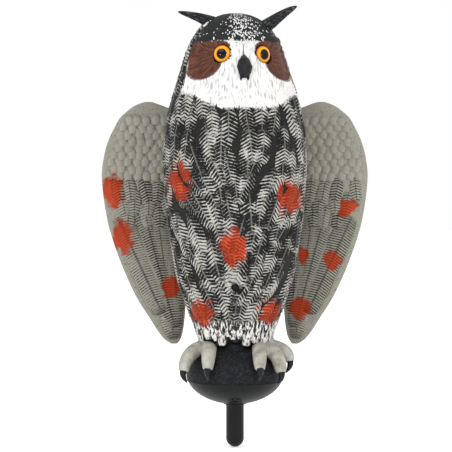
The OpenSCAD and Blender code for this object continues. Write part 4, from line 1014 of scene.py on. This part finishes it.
def wing_panel(side):
    """The panel and its pad as a bmesh, on the side of -X (-1) or +X (+1)."""
    bm = bmesh.new()
    bmesh.ops.create_uvsphere(bm, u_segments=72, v_segments=84, radius=1)
    low, high = WING[0][0], WING[-1][0]
    for v in bm.verts:
        z = (low + high) / 2 + (high - low) / 2 * math.copysign(abs(v.co.z) ** 0.8, v.co.z)
        inner, outer = wing_table.at(z)
        around = math.atan2(v.co.y, v.co.x)
        x = (inner + outer) / 2 + (outer - inner) / 2 * math.cos(around)
        if abs(v.co.z) > 0.9999:
            x = (inner + outer) / 2
        half = math.copysign(wing_thickness(x, z), math.sin(around))
        v.co = Vector((side * x, wing_middle(x) + half, z)) * MM
    pad = [(0, 58.6), (13.9, 58.6), (14.4, 59.1), (14.4, 65.2), (13.9, 65.8), (7.2, 65.8), (7.2, 65.0),
           (0, 65.0)]
    add_turned(bm, pad, (side * SHOULDER_X, 0, SHOULDER_Z), (0, 1, 0), steps=48)
    bmesh.ops.remove_doubles(bm, verts=bm.verts, dist=0.00001)
    bmesh.ops.recalc_face_normals(bm, faces=bm.faces)
    return bm


EDGE = 6                # feathers stop this far inside the wing's outer edge


def on_wing(side, face, x, z, lean):
    """Lays a feather on the front (-1) or back (+1) face of a wing."""

    def place(out, down, up):
        aside = out * math.cos(lean) + down * math.sin(lean)
        below = down * math.cos(lean) - out * math.sin(lean)
        level = z - below
        inner, outer = wing_table.at(level)
        here = min(max(x + aside, inner + 2), outer - EDGE)
        y = wing_middle(here) + face * (wing_thickness(here, level) + up)
        return Vector((side * here, y, level)) * MM

    return place


# from z, to z, row step, length, width, barbs and lift of the wing's feather rows
COVERTS = [
    (344, 264, 8.2, 13.5, 11.5, 3, 0.9), (277, 216, 15.5, 29, 18, 9, 1.1),
]
RIM = 6.5               # smooth rim round the feathered field


def in_field(x, z, margin):
    """True if a place is inside the wing's outline by a margin."""
    inner, outer = wing_table.at(z)
    low, high = WING[0][0] + margin, WING[-1][0] - margin
    return low < z < high and inner + 3 < x < outer - margin


def feather_wing(bm, side, face):
    """Lays the long feathers, then the middle and the small ones, on one face of a wing."""
    for k, (x, top, length, width, lean) in enumerate([
            (74, 214, 112, 26, -0.04), (92, 218, 149, 28, -0.13), (108, 222, 144, 32, -0.26),
            (139, 216, 126, 40, -0.43)]):
        add_feather(bm, on_wing(side, face, x, top, lean), length, width, round(length / 3), 0.5 + 0.25 * k,
                    slope=0.2, crown=0.8, relief=0.34, blunt=4 if k == 3 else 7)
    for first, last, step, length, width, barbs, lift in reversed(COVERTS):
        z, row = last + step, 0
        while z <= first:
            x = 40 + width * 0.5 * (row % 2)
            while x < 158:
                nudge, tilt = random.uniform(-1.6, 1.6), random.uniform(-0.2, 0.2)
                drop = random.uniform(-1.5, 1.5)
                fits = in_field(x, z, RIM - 2) and in_field(x, z - length, RIM)
                near_pad = math.hypot(x - SHOULDER_X, z - length / 2 - SHOULDER_Z) < 14.4 + length * 0.6
                if fits and not near_pad:
                    add_feather(
                        bm, on_wing(side, face, x + nudge, z + drop, tilt - 0.08), length, width, barbs, lift,
                        slope=0.3, crown=0.7, relief=0.3 if length > 20 else 0.0, blunt=2.6)
                x += width * 0.95
            z += step
            row += 1


for word, side in (("right", -1), ("left", 1)):
    make_piece(
        f"{word}_wing_panel", wing_panel(side), wing_rim_material, f"{word}_wing",
        [f"{word}_wing"])
    for face_word, face in (("front", -1), ("back", 1)):
        bm = feather_bmesh()
        feather_wing(bm, side, face)
        make_piece(
            f"{word}_wing_{face_word}_feathers", bm, wing_feather_material, f"{word}_wing")

# %% [markdown]
# ## Eyes
# Decoy eyes are pressed amber domes with a painted iris and pupil behind a
# clear coat. Refraction through a real lens would need many samples and gains
# little at this size, so the dome is painted from an attribute that holds the
# distance from its axis and given a smooth, glossy finish.


# %% Eyes
def eye_enamel():
    """Amber iris and black pupil under clear gloss."""
    material, tree = start_material("clear-coated amber eye")
    reach = add(tree, "Attribute", out=2, attribute_name="reach")
    place = add(tree, "TexCoord", out=3)
    flame = add(tree, "TexNoise", {"Vector": place, "Scale": grain_scale(2.5), "Detail": 2.0})
    wavy = add(tree, "Math", {0: flame, 1: 0.05, 2: reach}, operation="MULTIPLY_ADD")
    ramp = add(tree, "ValToRGB", {0: wavy})
    stops = ramp.node.color_ramp.elements
    stops[0].position, stops[0].color = 0.0, paint("#050505")
    stops[1].position, stops[1].color = 1.0, paint("#1d0f06")
    for position, code in [(0.575, "#070504"), (0.61, "#d98a12"), (0.74, "#f0a71e"), (0.86, "#dd8c14"),
                           (0.93, "#b8620c"), (0.99, "#3a1c0a")]:
        stop = stops.new(position)
        stop.color = paint(code)
    finish_material(tree, Base_Color=ramp, Roughness=0.03, Specular_IOR_Level=0.22)
    return material


eye_material = eye_enamel()
EYE_SUNK, EYE_BULGE = 3.4, 4.6      # rim of the dome behind the skin, and height of the dome
for word, side in (("right", -1), ("left", 1)):
    middle, direction = eye_axis(side)
    dome_r = EYE_R / MM - 0.1
    skin = body_point(HEAD_TURN + side * EYE_S / HEAD_R, EYE_Z)
    rim = math.hypot(skin.x, skin.y) - EYE_SUNK
    dome = [(dome_r * math.sin(a), rim + EYE_BULGE * math.cos(a))
            for a in (math.radians(90 * i / 16) for i in range(17))]
    bm = bmesh.new()
    reach = bm.verts.layers.float.new("reach")
    add_turned(bm, dome + [(dome_r, rim - 4), (0, rim - 4)], middle / MM, direction, steps=56)
    for v in bm.verts:
        away = v.co - middle
        v[reach] = (away - direction * away.dot(direction)).length / (dome_r * MM)
    make_piece(f"{word}_eye", bm, eye_material,
               replaces=[f"{word}_eye_lens", f"{word}_iris_disc"])

# %% [markdown]
# ## Beak
# The beak is a short hooked diamond with a keel down its middle and two points
# at its lower edge. A bar follows its curve and its front corner is pulled out
# for the keel; the beak is left flat shaded, so its facets show.


# %% Beak
def gloss_black(name, roughness, scratch_mm):
    """Black gloss paint with light handling marks."""
    material, tree = start_material(name)
    place = add(tree, "TexCoord", out=3)
    marks = add(tree, "TexNoise", {"Vector": place, "Scale": grain_scale(scratch_mm), "Detail": 4.0})
    colour = add(tree, "Mix", {0: marks, 6: paint("#08090a"), 7: paint("#232529")}, out=2, data_type="RGBA")
    shine = add(tree, "MapRange", {0: marks, 1: 0.3, 2: 0.7, 3: roughness - 0.08, 4: roughness + 0.12})
    bump = add(tree, "Bump", {"Strength": 0.4, "Distance": 0.0005, "Height": marks})
    finish_material(tree, Base_Color=colour, Roughness=shine, Normal=bump)
    return material


beak_material = gloss_black("satin black beak enamel", 0.36, 2.5)
BEAK_PATH = [
    (0, -46, 398), (0, -51.5, 395), (0, -57, 390), (0, -61, 383.5), (0, -61.5, 376.5), (0, -59, 371.5)]
BEAK_HALF_WIDTH = [2.4, 3.4, 7, 9, 7, 4.6]
BEAK_DEPTH = [3, 4, 5, 5.5, 4.5, 2.2]
BEAK_KEEL = 2.4         # how far the keel stands out


def add_beak(bm):
    """The beak before the head's turn."""
    made = add_bar(bm, BEAK_PATH, BEAK_DEPTH, sides=8)
    for v in made:
        gaps = [abs(z * MM - v.co.z) + 0.3 * abs(y * MM - v.co.y) for _, y, z in BEAK_PATH]
        i = gaps.index(min(gaps))
        v.co.x *= BEAK_HALF_WIDTH[i] / BEAK_DEPTH[i]
        if abs(v.co.x) < 0.6 * MM and v.co.y < BEAK_PATH[i][1] * MM:
            v.co.y -= BEAK_KEEL * MM
    for s in (-1, 1):
        add_bar(bm, [(s * 3.4, -59, 375), (s * 4, -60, 371), (s * 4.2, -59.6, 368)], [2.2, 1.6, 0.5], sides=8)


bm = bmesh.new()
add_beak(bm)
bmesh.ops.rotate(bm, cent=(0, 0, 0), matrix=Matrix.Rotation(HEAD_TURN, 3, "Z"), verts=bm.verts)
make_piece("owl_beak", bm, beak_material, replaces=["beak"], smooth=False)

# %% [markdown]
# ## Ear tufts
# The "horns" are soft black rubber plugs. Each is a main blade with shorter
# locks along its lower edge, and fine grooves drawn along it.


# %% Ear tufts
def tuft_rubber():
    """Soft black rubber, lighter grey on its raised strands."""
    material, tree = start_material("moulded black tuft rubber")
    place = add(tree, "TexCoord", out=3)
    drawn = add(tree, "Mapping", {"Vector": place, "Rotation": (0.0, 0.25, 0.0), "Scale": (0.22, 1.0, 1.0)})
    locks = add(tree, "TexNoise", {"Vector": drawn, "Scale": grain_scale(1.5), "Detail": 3.0})
    # lighter grey where the strands stand highest
    raised_grey = add(tree, "MapRange", {0: locks, 1: 0.52, 2: 0.68, 3: 0.0, 4: 1.0})
    colour = add(tree, "Mix", {0: raised_grey, 6: paint("#191b1d"), 7: paint("#55585b")}, out=2, data_type="RGBA")
    bump = add(tree, "Bump", {"Strength": 0.7, "Distance": 0.0009, "Height": locks})
    finish_material(tree, Base_Color=colour, Roughness=0.7, Normal=bump)
    return material


tuft_material = tuft_rubber()
TUFTS = {
    "right": [(-16, -10, 437), (-27, -11, 439.5), (-38, -13, 444.2), (-49, -14, 447.6), (-58, -14.6, 449.8),
              (-66, -15, 451.8)],
    "left": [(26, -9, 431), (39, -11, 437.5), (50, -12.5, 446), (60.5, -13.5, 452.7), (66.5, -14, 455.8),
             (71.4, -14.4, 458.3)],
}
TUFT_R = [8, 8.2, 6.2, 4.4, 3, 1]
for word, path in TUFTS.items():
    side = -1 if word == "right" else 1
    bm = bmesh.new()
    add_bar(bm, path, TUFT_R, flat=0.62, across=(0, 0, 1), sides=12)
    for k, reach in enumerate((0.25, 0.5, 0.75)):
        start, end = Vector(path[0]), Vector(path[3])
        root = start.lerp(end, reach * 0.6) + Vector((0, -2.5, -3.2))
        point = start.lerp(end, reach * 0.6 + 0.62) + Vector((0, -4, -5.5 + 1.6 * k))
        middle = root.lerp(point, 0.5) + Vector((0, -0.8, 0.6))
        add_bar(bm, [root, middle, point], [4.4 - 0.6 * k, 3.2 - 0.4 * k, 0.5],
                flat=0.6, across=(0, 0, 1), sides=8)
    tuft = make_piece(f"{word}_tuft", bm, tuft_material, replaces=[f"{word}_ear_tuft"])
    add_modifier(tuft, "SUBSURF", levels=2, render_levels=2)

# %% [markdown]
# ## Perch
# The owl stands on a ball with a rough cast-look top and a smooth lower bowl,
# which share a seam. Both are turned parts. The stub under the bowl drops into
# a pipe, so its size is taken from the CAD node, and the three screw holes are
# punched through the bowl.


# %% Perch materials
def perch_texture(name, low_hex, high_hex, grain_mm, depth_mm, roughness):
    """Matt black ABS. A coarse grain is spark-eroded into the mould, a fine one is left by sanding it."""
    material, tree = start_material(name)
    place = add(tree, "TexCoord", out=3)
    grain = add(
        tree, "TexNoise", {"Vector": place, "Scale": grain_scale(grain_mm), "Detail": 5.0, "Roughness": 0.6})
    worn = add(tree, "MapRange", {0: grain, 1: 0.45, 2: 0.72, 3: 0.0, 4: 1.0})
    colour = add(tree, "Mix", {0: worn, 6: paint(low_hex), 7: paint(high_hex)}, out=2, data_type="RGBA")
    bump = add(tree, "Bump", {"Strength": 0.8, "Distance": depth_mm * MM, "Height": grain})
    finish_material(tree, Base_Color=colour, Roughness=roughness, Normal=bump)
    return material


rough_material = perch_texture("spark-eroded black ABS", "#0d0e10", "#2e3036", 2.2, 0.9, 0.62)
smooth_material = perch_texture("satin black ABS", "#101112", "#1c1d1f", 1.1, 0.12, 0.42)

# %% [markdown]
# ## Perch ball and bowl
# Both halves of the perch are turned shapes: the upper one is textured rubbery
# black and the lower one is smooth. They are spun from profiles on the same
# axis as the stub, with a narrow step between them where the mouldings meet.

# %% Perch ball and bowl
perch_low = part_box("perch_base")[0]
PERCH_R, PERCH_Z = 57, 36
SEAM_Z = 28
STUB_R = 10.3
STUB_END = perch_low.z / MM + STUB_R        # where the round end starts

seam_angle = math.degrees(math.asin((SEAM_Z - PERCH_Z) / PERCH_Z))
dome = arc_points(PERCH_R, PERCH_Z, seam_angle + 1, 90, 44, (0, PERCH_Z))
ball = [(51, SEAM_Z - 3), (54.5, SEAM_Z - 1)] + dome
bm = bmesh.new()
add_turned(bm, [(max(r, 0), z) for r, z in ball], (0, 0, 0), (0, 0, 1), steps=120)
for v in bm.verts:
    co = v.co / MM
    if co.z > SEAM_Z + 1.5:
        out = Vector((co.x, co.y, (co.z - PERCH_Z) * 2.4)).normalized()
        v.co += out * (0.7 * noise.noise(co * 0.22) + 0.35 * noise.noise(co * 0.6) - 0.4) * MM
perch_ball = make_piece("perch_ball", bm, rough_material)
add_modifier(perch_ball, "SOLIDIFY", thickness=2.5 * MM, offset=-1)

bowl = [(54.0, SEAM_Z + 0.6), (56.2, SEAM_Z - 0.4)]
bowl += arc_points(PERCH_R - 0.5, PERCH_Z, seam_angle - 1.5, -77, 26, (0, PERCH_Z))[1:]
bowl += [(13.6, 0.4), (13.2, 0.0), (11.6, 0.0), (10.6, -0.8), (STUB_R, -2.4)]
bowl += [(STUB_R, -2.4 - (STUB_END + 2.4) * -k / 8) for k in range(1, 8)]
bowl += arc_points(STUB_R, STUB_R, 0, -90, 12, (0, STUB_END))
bm = bmesh.new()
add_turned(bm, [(max(r, 0), z) for r, z in bowl], (0, 0, 0), (0, 0, 1), steps=144)
BASE_SCREW_R = 34
for turn in (30, 150, 270):
    a = math.radians(turn)
    punch(bm, (BASE_SCREW_R * math.cos(a) * MM, BASE_SCREW_R * math.sin(a) * MM, 0.03), (0, 0, -1), 4.2 * MM)
perch_bowl = make_piece("perch_bowl", bm, smooth_material, replaces=["perch_base"])
add_modifier(perch_bowl, "SOLIDIFY", thickness=2.5 * MM, offset=-1)

# %% [markdown]
# ## Pedestal
# Between the legs a dark recessed block joins the body to the perch. It is a
# short oval drum with softly rounded corners.

# %% Pedestal
bm = bmesh.new()
block = [(0, 56), (33, 56), (34, 57), (34, 60), (33.4, 71.5), (0, 71.5)]
add_turned(bm, block, (0, 0, 0), (0, 0, 1), steps=72)
for v in bm.verts:
    v.co.x *= 0.56
make_piece("pedestal", bm, rough_material, replaces=["perch_top"])

# %% [markdown]
# ## Feet and claws
# Each foot is cast in one piece with its toes. The toes and the ankle are bars
# that run into each other; a voxel remesh melts them into one skin, as clay
# would be blended, and a smoothing pass takes out the joints.


# %% Feet
def foot_paint():
    """Matt pale grey paint, clouded and flecked with darker grey."""
    material, tree = start_material("pale grey leg paint")
    place = add(tree, "TexCoord", out=3)
    cloud = add(tree, "TexNoise", {"Vector": place, "Scale": grain_scale(9), "Detail": 4.0})
    pores = add(tree, "TexNoise", {"Vector": place, "Scale": grain_scale(1.3), "Detail": 2.0})
    tint = add(tree, "MapRange", {0: cloud, 1: 0.3, 2: 0.7, 3: 0.0, 4: 1.0})
    colour = add(tree, "Mix", {0: tint, 6: paint("#86837a"), 7: paint("#b5b3aa")}, out=2, data_type="RGBA")
    speck = add(tree, "MapRange", {0: pores, 1: 0.26, 2: 0.36, 3: 0.0, 4: 1.0})
    colour = add(tree, "Mix", {0: speck, 6: paint("#6d675a"), 7: colour}, out=2, data_type="RGBA")
    bump = add(tree, "Bump", {"Strength": 0.4, "Distance": 0.0006, "Height": pores})
    finish_material(tree, Base_Color=colour, Roughness=0.66, Normal=bump)
    return material


foot_material = foot_paint()
claw_material = gloss_black("glossy black claw enamel", 0.24, 4.0)

# each toe runs from the ankle to its end, and its claw goes on from there
TOES = {
    "right": [
        [(-30, -8, 65), (-30, -26, 65), (-30, -41, 61), (-30.5, -51.5, 53), (-30.7, -55.5, 45)],
        [(-36, -5, 65), (-44, -19, 64), (-52, -29, 58.5), (-57, -35, 49), (-58, -37.5, 41)],
        [(-31, 6, 62), (-32, 24, 63), (-34, 37, 58), (-35, 46, 50), (-35, 49, 42)],
    ],
    "left": [
        [(29, -8, 65), (28, -26, 65), (27.5, -42, 61), (27.5, -52, 53), (27.5, -56.5, 45)],
        [(34, -6, 64), (41, -23, 63), (47.5, -34, 57), (51, -40, 47), (51.5, -42.5, 40)],
        [(38, 0, 65), (47, -6, 65), (56, -11, 61.5), (61, -14, 56), (62, -16, 50)],
        [(31, 6, 62), (32, 24, 63), (34, 37, 58), (35, 46, 50), (35, 49, 42)],
    ],
}
TOE_R = [9.5, 9, 8.4, 7.4, 5.6]
ANKLE = {
    "right": [(-30, -6, 80), (-30, -6, 74), (-31, -5, 66)],
    "left": [(33, -5, 80), (33, -5, 74), (34, -4, 66)],
}
ANKLE_R = [11, 12.5, 11.5]
for word, toes in TOES.items():
    bm, claws = bmesh.new(), bmesh.new()
    add_bar(bm, ANKLE[word], ANKLE_R, across=(1, 0.2, 0), sides=16)
    for toe in toes:
        smooth_toe = eased([tuple(p) + (r,) for p, r in zip(toe, TOE_R)], 4)
        add_bar(bm, [p[:3] for p in smooth_toe], [p[3] for p in smooth_toe], across=(1, 0.2, 0), sides=16)
        end, before = Vector(toe[-1]), Vector(toe[-2])
        out = Vector((end.x, end.y, 0)).normalized()
        tip_path = [end + Vector((0, 0, 5)) - out * 1.5, end + Vector((0, 0, 0)) + out * 1.4,
                    end + Vector((0, 0, -6.5)) + out * 0.2, end + Vector((0, 0, -13)) - out * 4]
        add_bar(claws, eased(tip_path, 3), [p[0] for p in eased([(4.2,), (3.9,), (2.9,), (0.5,)], 3)],
                across=(1, 0.2, 0), sides=12)
    foot = make_piece(f"{word}_leg", bm, foot_material, replaces=[f"{word}_foot"])
    add_modifier(foot, "REMESH", mode="VOXEL", voxel_size=1.1 * MM, use_smooth_shade=True)
    add_modifier(foot, "SMOOTH", factor=0.6, iterations=7)
    make_piece(f"{word}_claws", claws, claw_material)

# %% [markdown]
# ## Shoulder bosses
# A wing's shaft leaves the back shell through a round nose that holds its
# seal. It is turned, with a small radius on its outer corner.

# %% Shoulder bosses
bm = bmesh.new()
nose = [(8.2, 44), (8.2, 54.6), (8.6, 55), (12.7, 55), (13.5, 54.2), (13.5, 44)]
for side in (-1, 1):
    add_turned(bm, nose + [nose[0]], (side * SHOULDER_X, 0, SHOULDER_Z), (0, 1, 0), steps=48)
make_piece("shoulder_bosses", bm, shell_material)

# %% [markdown]
# ## Hardware finishes
# The CAD nodes that stay visible, and the works inside, get the finish of what
# they are made of: zinc-plated screws, drawn steel shafts, sintered bronze
# bushes, moulded nylon gears, ABS covers and PVC leads. Two short recipes
# cover them, one for metal and one for moulded plastic and rubber.


# %% Hardware materials
def metal(name, low_hex, high_hex, roughness, grain_mm, stretch=(1.0, 1.0, 1.0)):
    """Bare or plated metal whose tone and polish vary along its working marks."""
    material, tree = start_material(name)
    place = add(tree, "Mapping", {"Vector": add(tree, "TexCoord", out=3), "Scale": stretch})
    marks = add(tree, "TexNoise", {"Vector": place, "Scale": grain_scale(grain_mm), "Detail": 4.0})
    colour = add(tree, "Mix", {0: marks, 6: paint(low_hex), 7: paint(high_hex)}, out=2, data_type="RGBA")
    shine = add(tree, "MapRange", {0: marks, 1: 0.3, 2: 0.7, 3: roughness * 0.75, 4: roughness * 1.3})
    bump = add(tree, "Bump", {"Strength": 0.25, "Distance": 0.0002, "Height": marks})
    finish_material(tree, Base_Color=colour, Metallic=1.0, Roughness=shine, Normal=bump)
    return material


def moulded(name, low_hex, high_hex, roughness, grain_mm, depth_mm=0.15):
    """Moulded plastic or rubber with the fine grain of its mould."""
    material, tree = start_material(name)
    place = add(tree, "TexCoord", out=3)
    grain = add(tree, "TexNoise", {"Vector": place, "Scale": grain_scale(grain_mm), "Detail": 3.0})
    drift = add(tree, "TexNoise", {"Vector": place, "Scale": grain_scale(grain_mm * 14)})
    both = add(tree, "Math", {0: grain, 1: drift}, operation="MULTIPLY")
    tone = add(tree, "MapRange", {0: both, 1: 0.12, 2: 0.4, 3: 0.0, 4: 1.0})
    colour = add(tree, "Mix", {0: tone, 6: paint(low_hex), 7: paint(high_hex)}, out=2, data_type="RGBA")
    bump = add(tree, "Bump", {"Strength": 0.5, "Distance": depth_mm * MM, "Height": grain})
    finish_material(tree, Base_Color=colour, Roughness=roughness, Normal=bump)
    return material


HARDWARE = {
    "zinc_steel": metal("bright zinc plate", "#9fa3a6", "#cfd2d4", 0.32, 1.5),
    "black_steel": metal("blackened steel", "#1c1d1f", "#3b3d40", 0.45, 1.5),
    "bright_steel": metal("ground silver steel", "#b9bcbe", "#dfe1e2", 0.2, 0.8, (1.0, 0.1, 1.0)),
    "plate_aluminium": metal("brushed aluminium sheet", "#b4b7ba", "#d8dadc", 0.34, 0.9, (0.08, 1.0, 1.0)),
    "bronze": metal("sintered bronze", "#8a6236", "#b98d55", 0.5, 0.5),
    "motor_steel": metal("rolled steel can", "#9a9da0", "#bfc2c4", 0.36, 1.2, (1.0, 0.2, 1.0)),
    "nickel_contact": metal("nickel plate", "#b7b1a3", "#dad5c8", 0.25, 1.0),
    "seal_rubber": moulded("nitrile rubber", "#101111", "#242525", 0.75, 0.6),
    "nylon": moulded("natural nylon", "#d8d3c2", "#efecdf", 0.45, 0.8),
    "black_abs": moulded("black ABS", "#121314", "#26282a", 0.5, 0.7),
    "grey_abs": moulded("charcoal ABS", "#2f302e", "#474845", 0.5, 0.7),
    "cell_wrap": moulded("shrink sleeve", "#6a4a18", "#9a7430", 0.3, 3.0),
    "button_red": moulded("red silicone cap", "#8e1410", "#b9241c", 0.55, 0.8),
    "circuit_board": moulded("green solder mask", "#0e4a24", "#1f6a38", 0.35, 1.5),
    "lead_red": moulded("red PVC insulation", "#8f1712", "#b32a20", 0.45, 1.0),
    "lead_black": moulded("black PVC insulation", "#141414", "#2a2a2a", 0.45, 1.0),
}

# %% [markdown]
# ## Finishes on the CAD parts
# The shafts, gears, screws, cells and leads stay as the CAD made them. Each one
# is given the material that its slot in the record names, so metal looks like
# metal and rubber like rubber when the hatch is open.

# %% Put the finishes on the nodes
for part in frame["record"]["subparts"]:
    node = frame["nodes"][part["node"]]
    finish = HARDWARE.get(part["material_slot"])
    if node.hide_render or finish is None:
        continue
    node.data.materials.clear()
    node.data.materials.append(finish)
shown = [name for name, node in frame["nodes"].items() if not node.hide_render]
print("CAD nodes shown:", len(shown))

# %% [markdown]
# ## Feather walls and sizes
# The feathers are open grids, so each gets a thin wall that makes it a solid
# flake. Then the CAD box is printed.

# %% Feather walls and sizes
FEATHER_T = 0.5 * MM
for piece in list(bpy.context.scene.objects):
    if piece.name.endswith("feathers"):
        add_modifier(piece, "SOLIDIFY", thickness=FEATHER_T, offset=-1)
print("cad box   ", [[round(x, 4) for x in c] for c in cad_box])
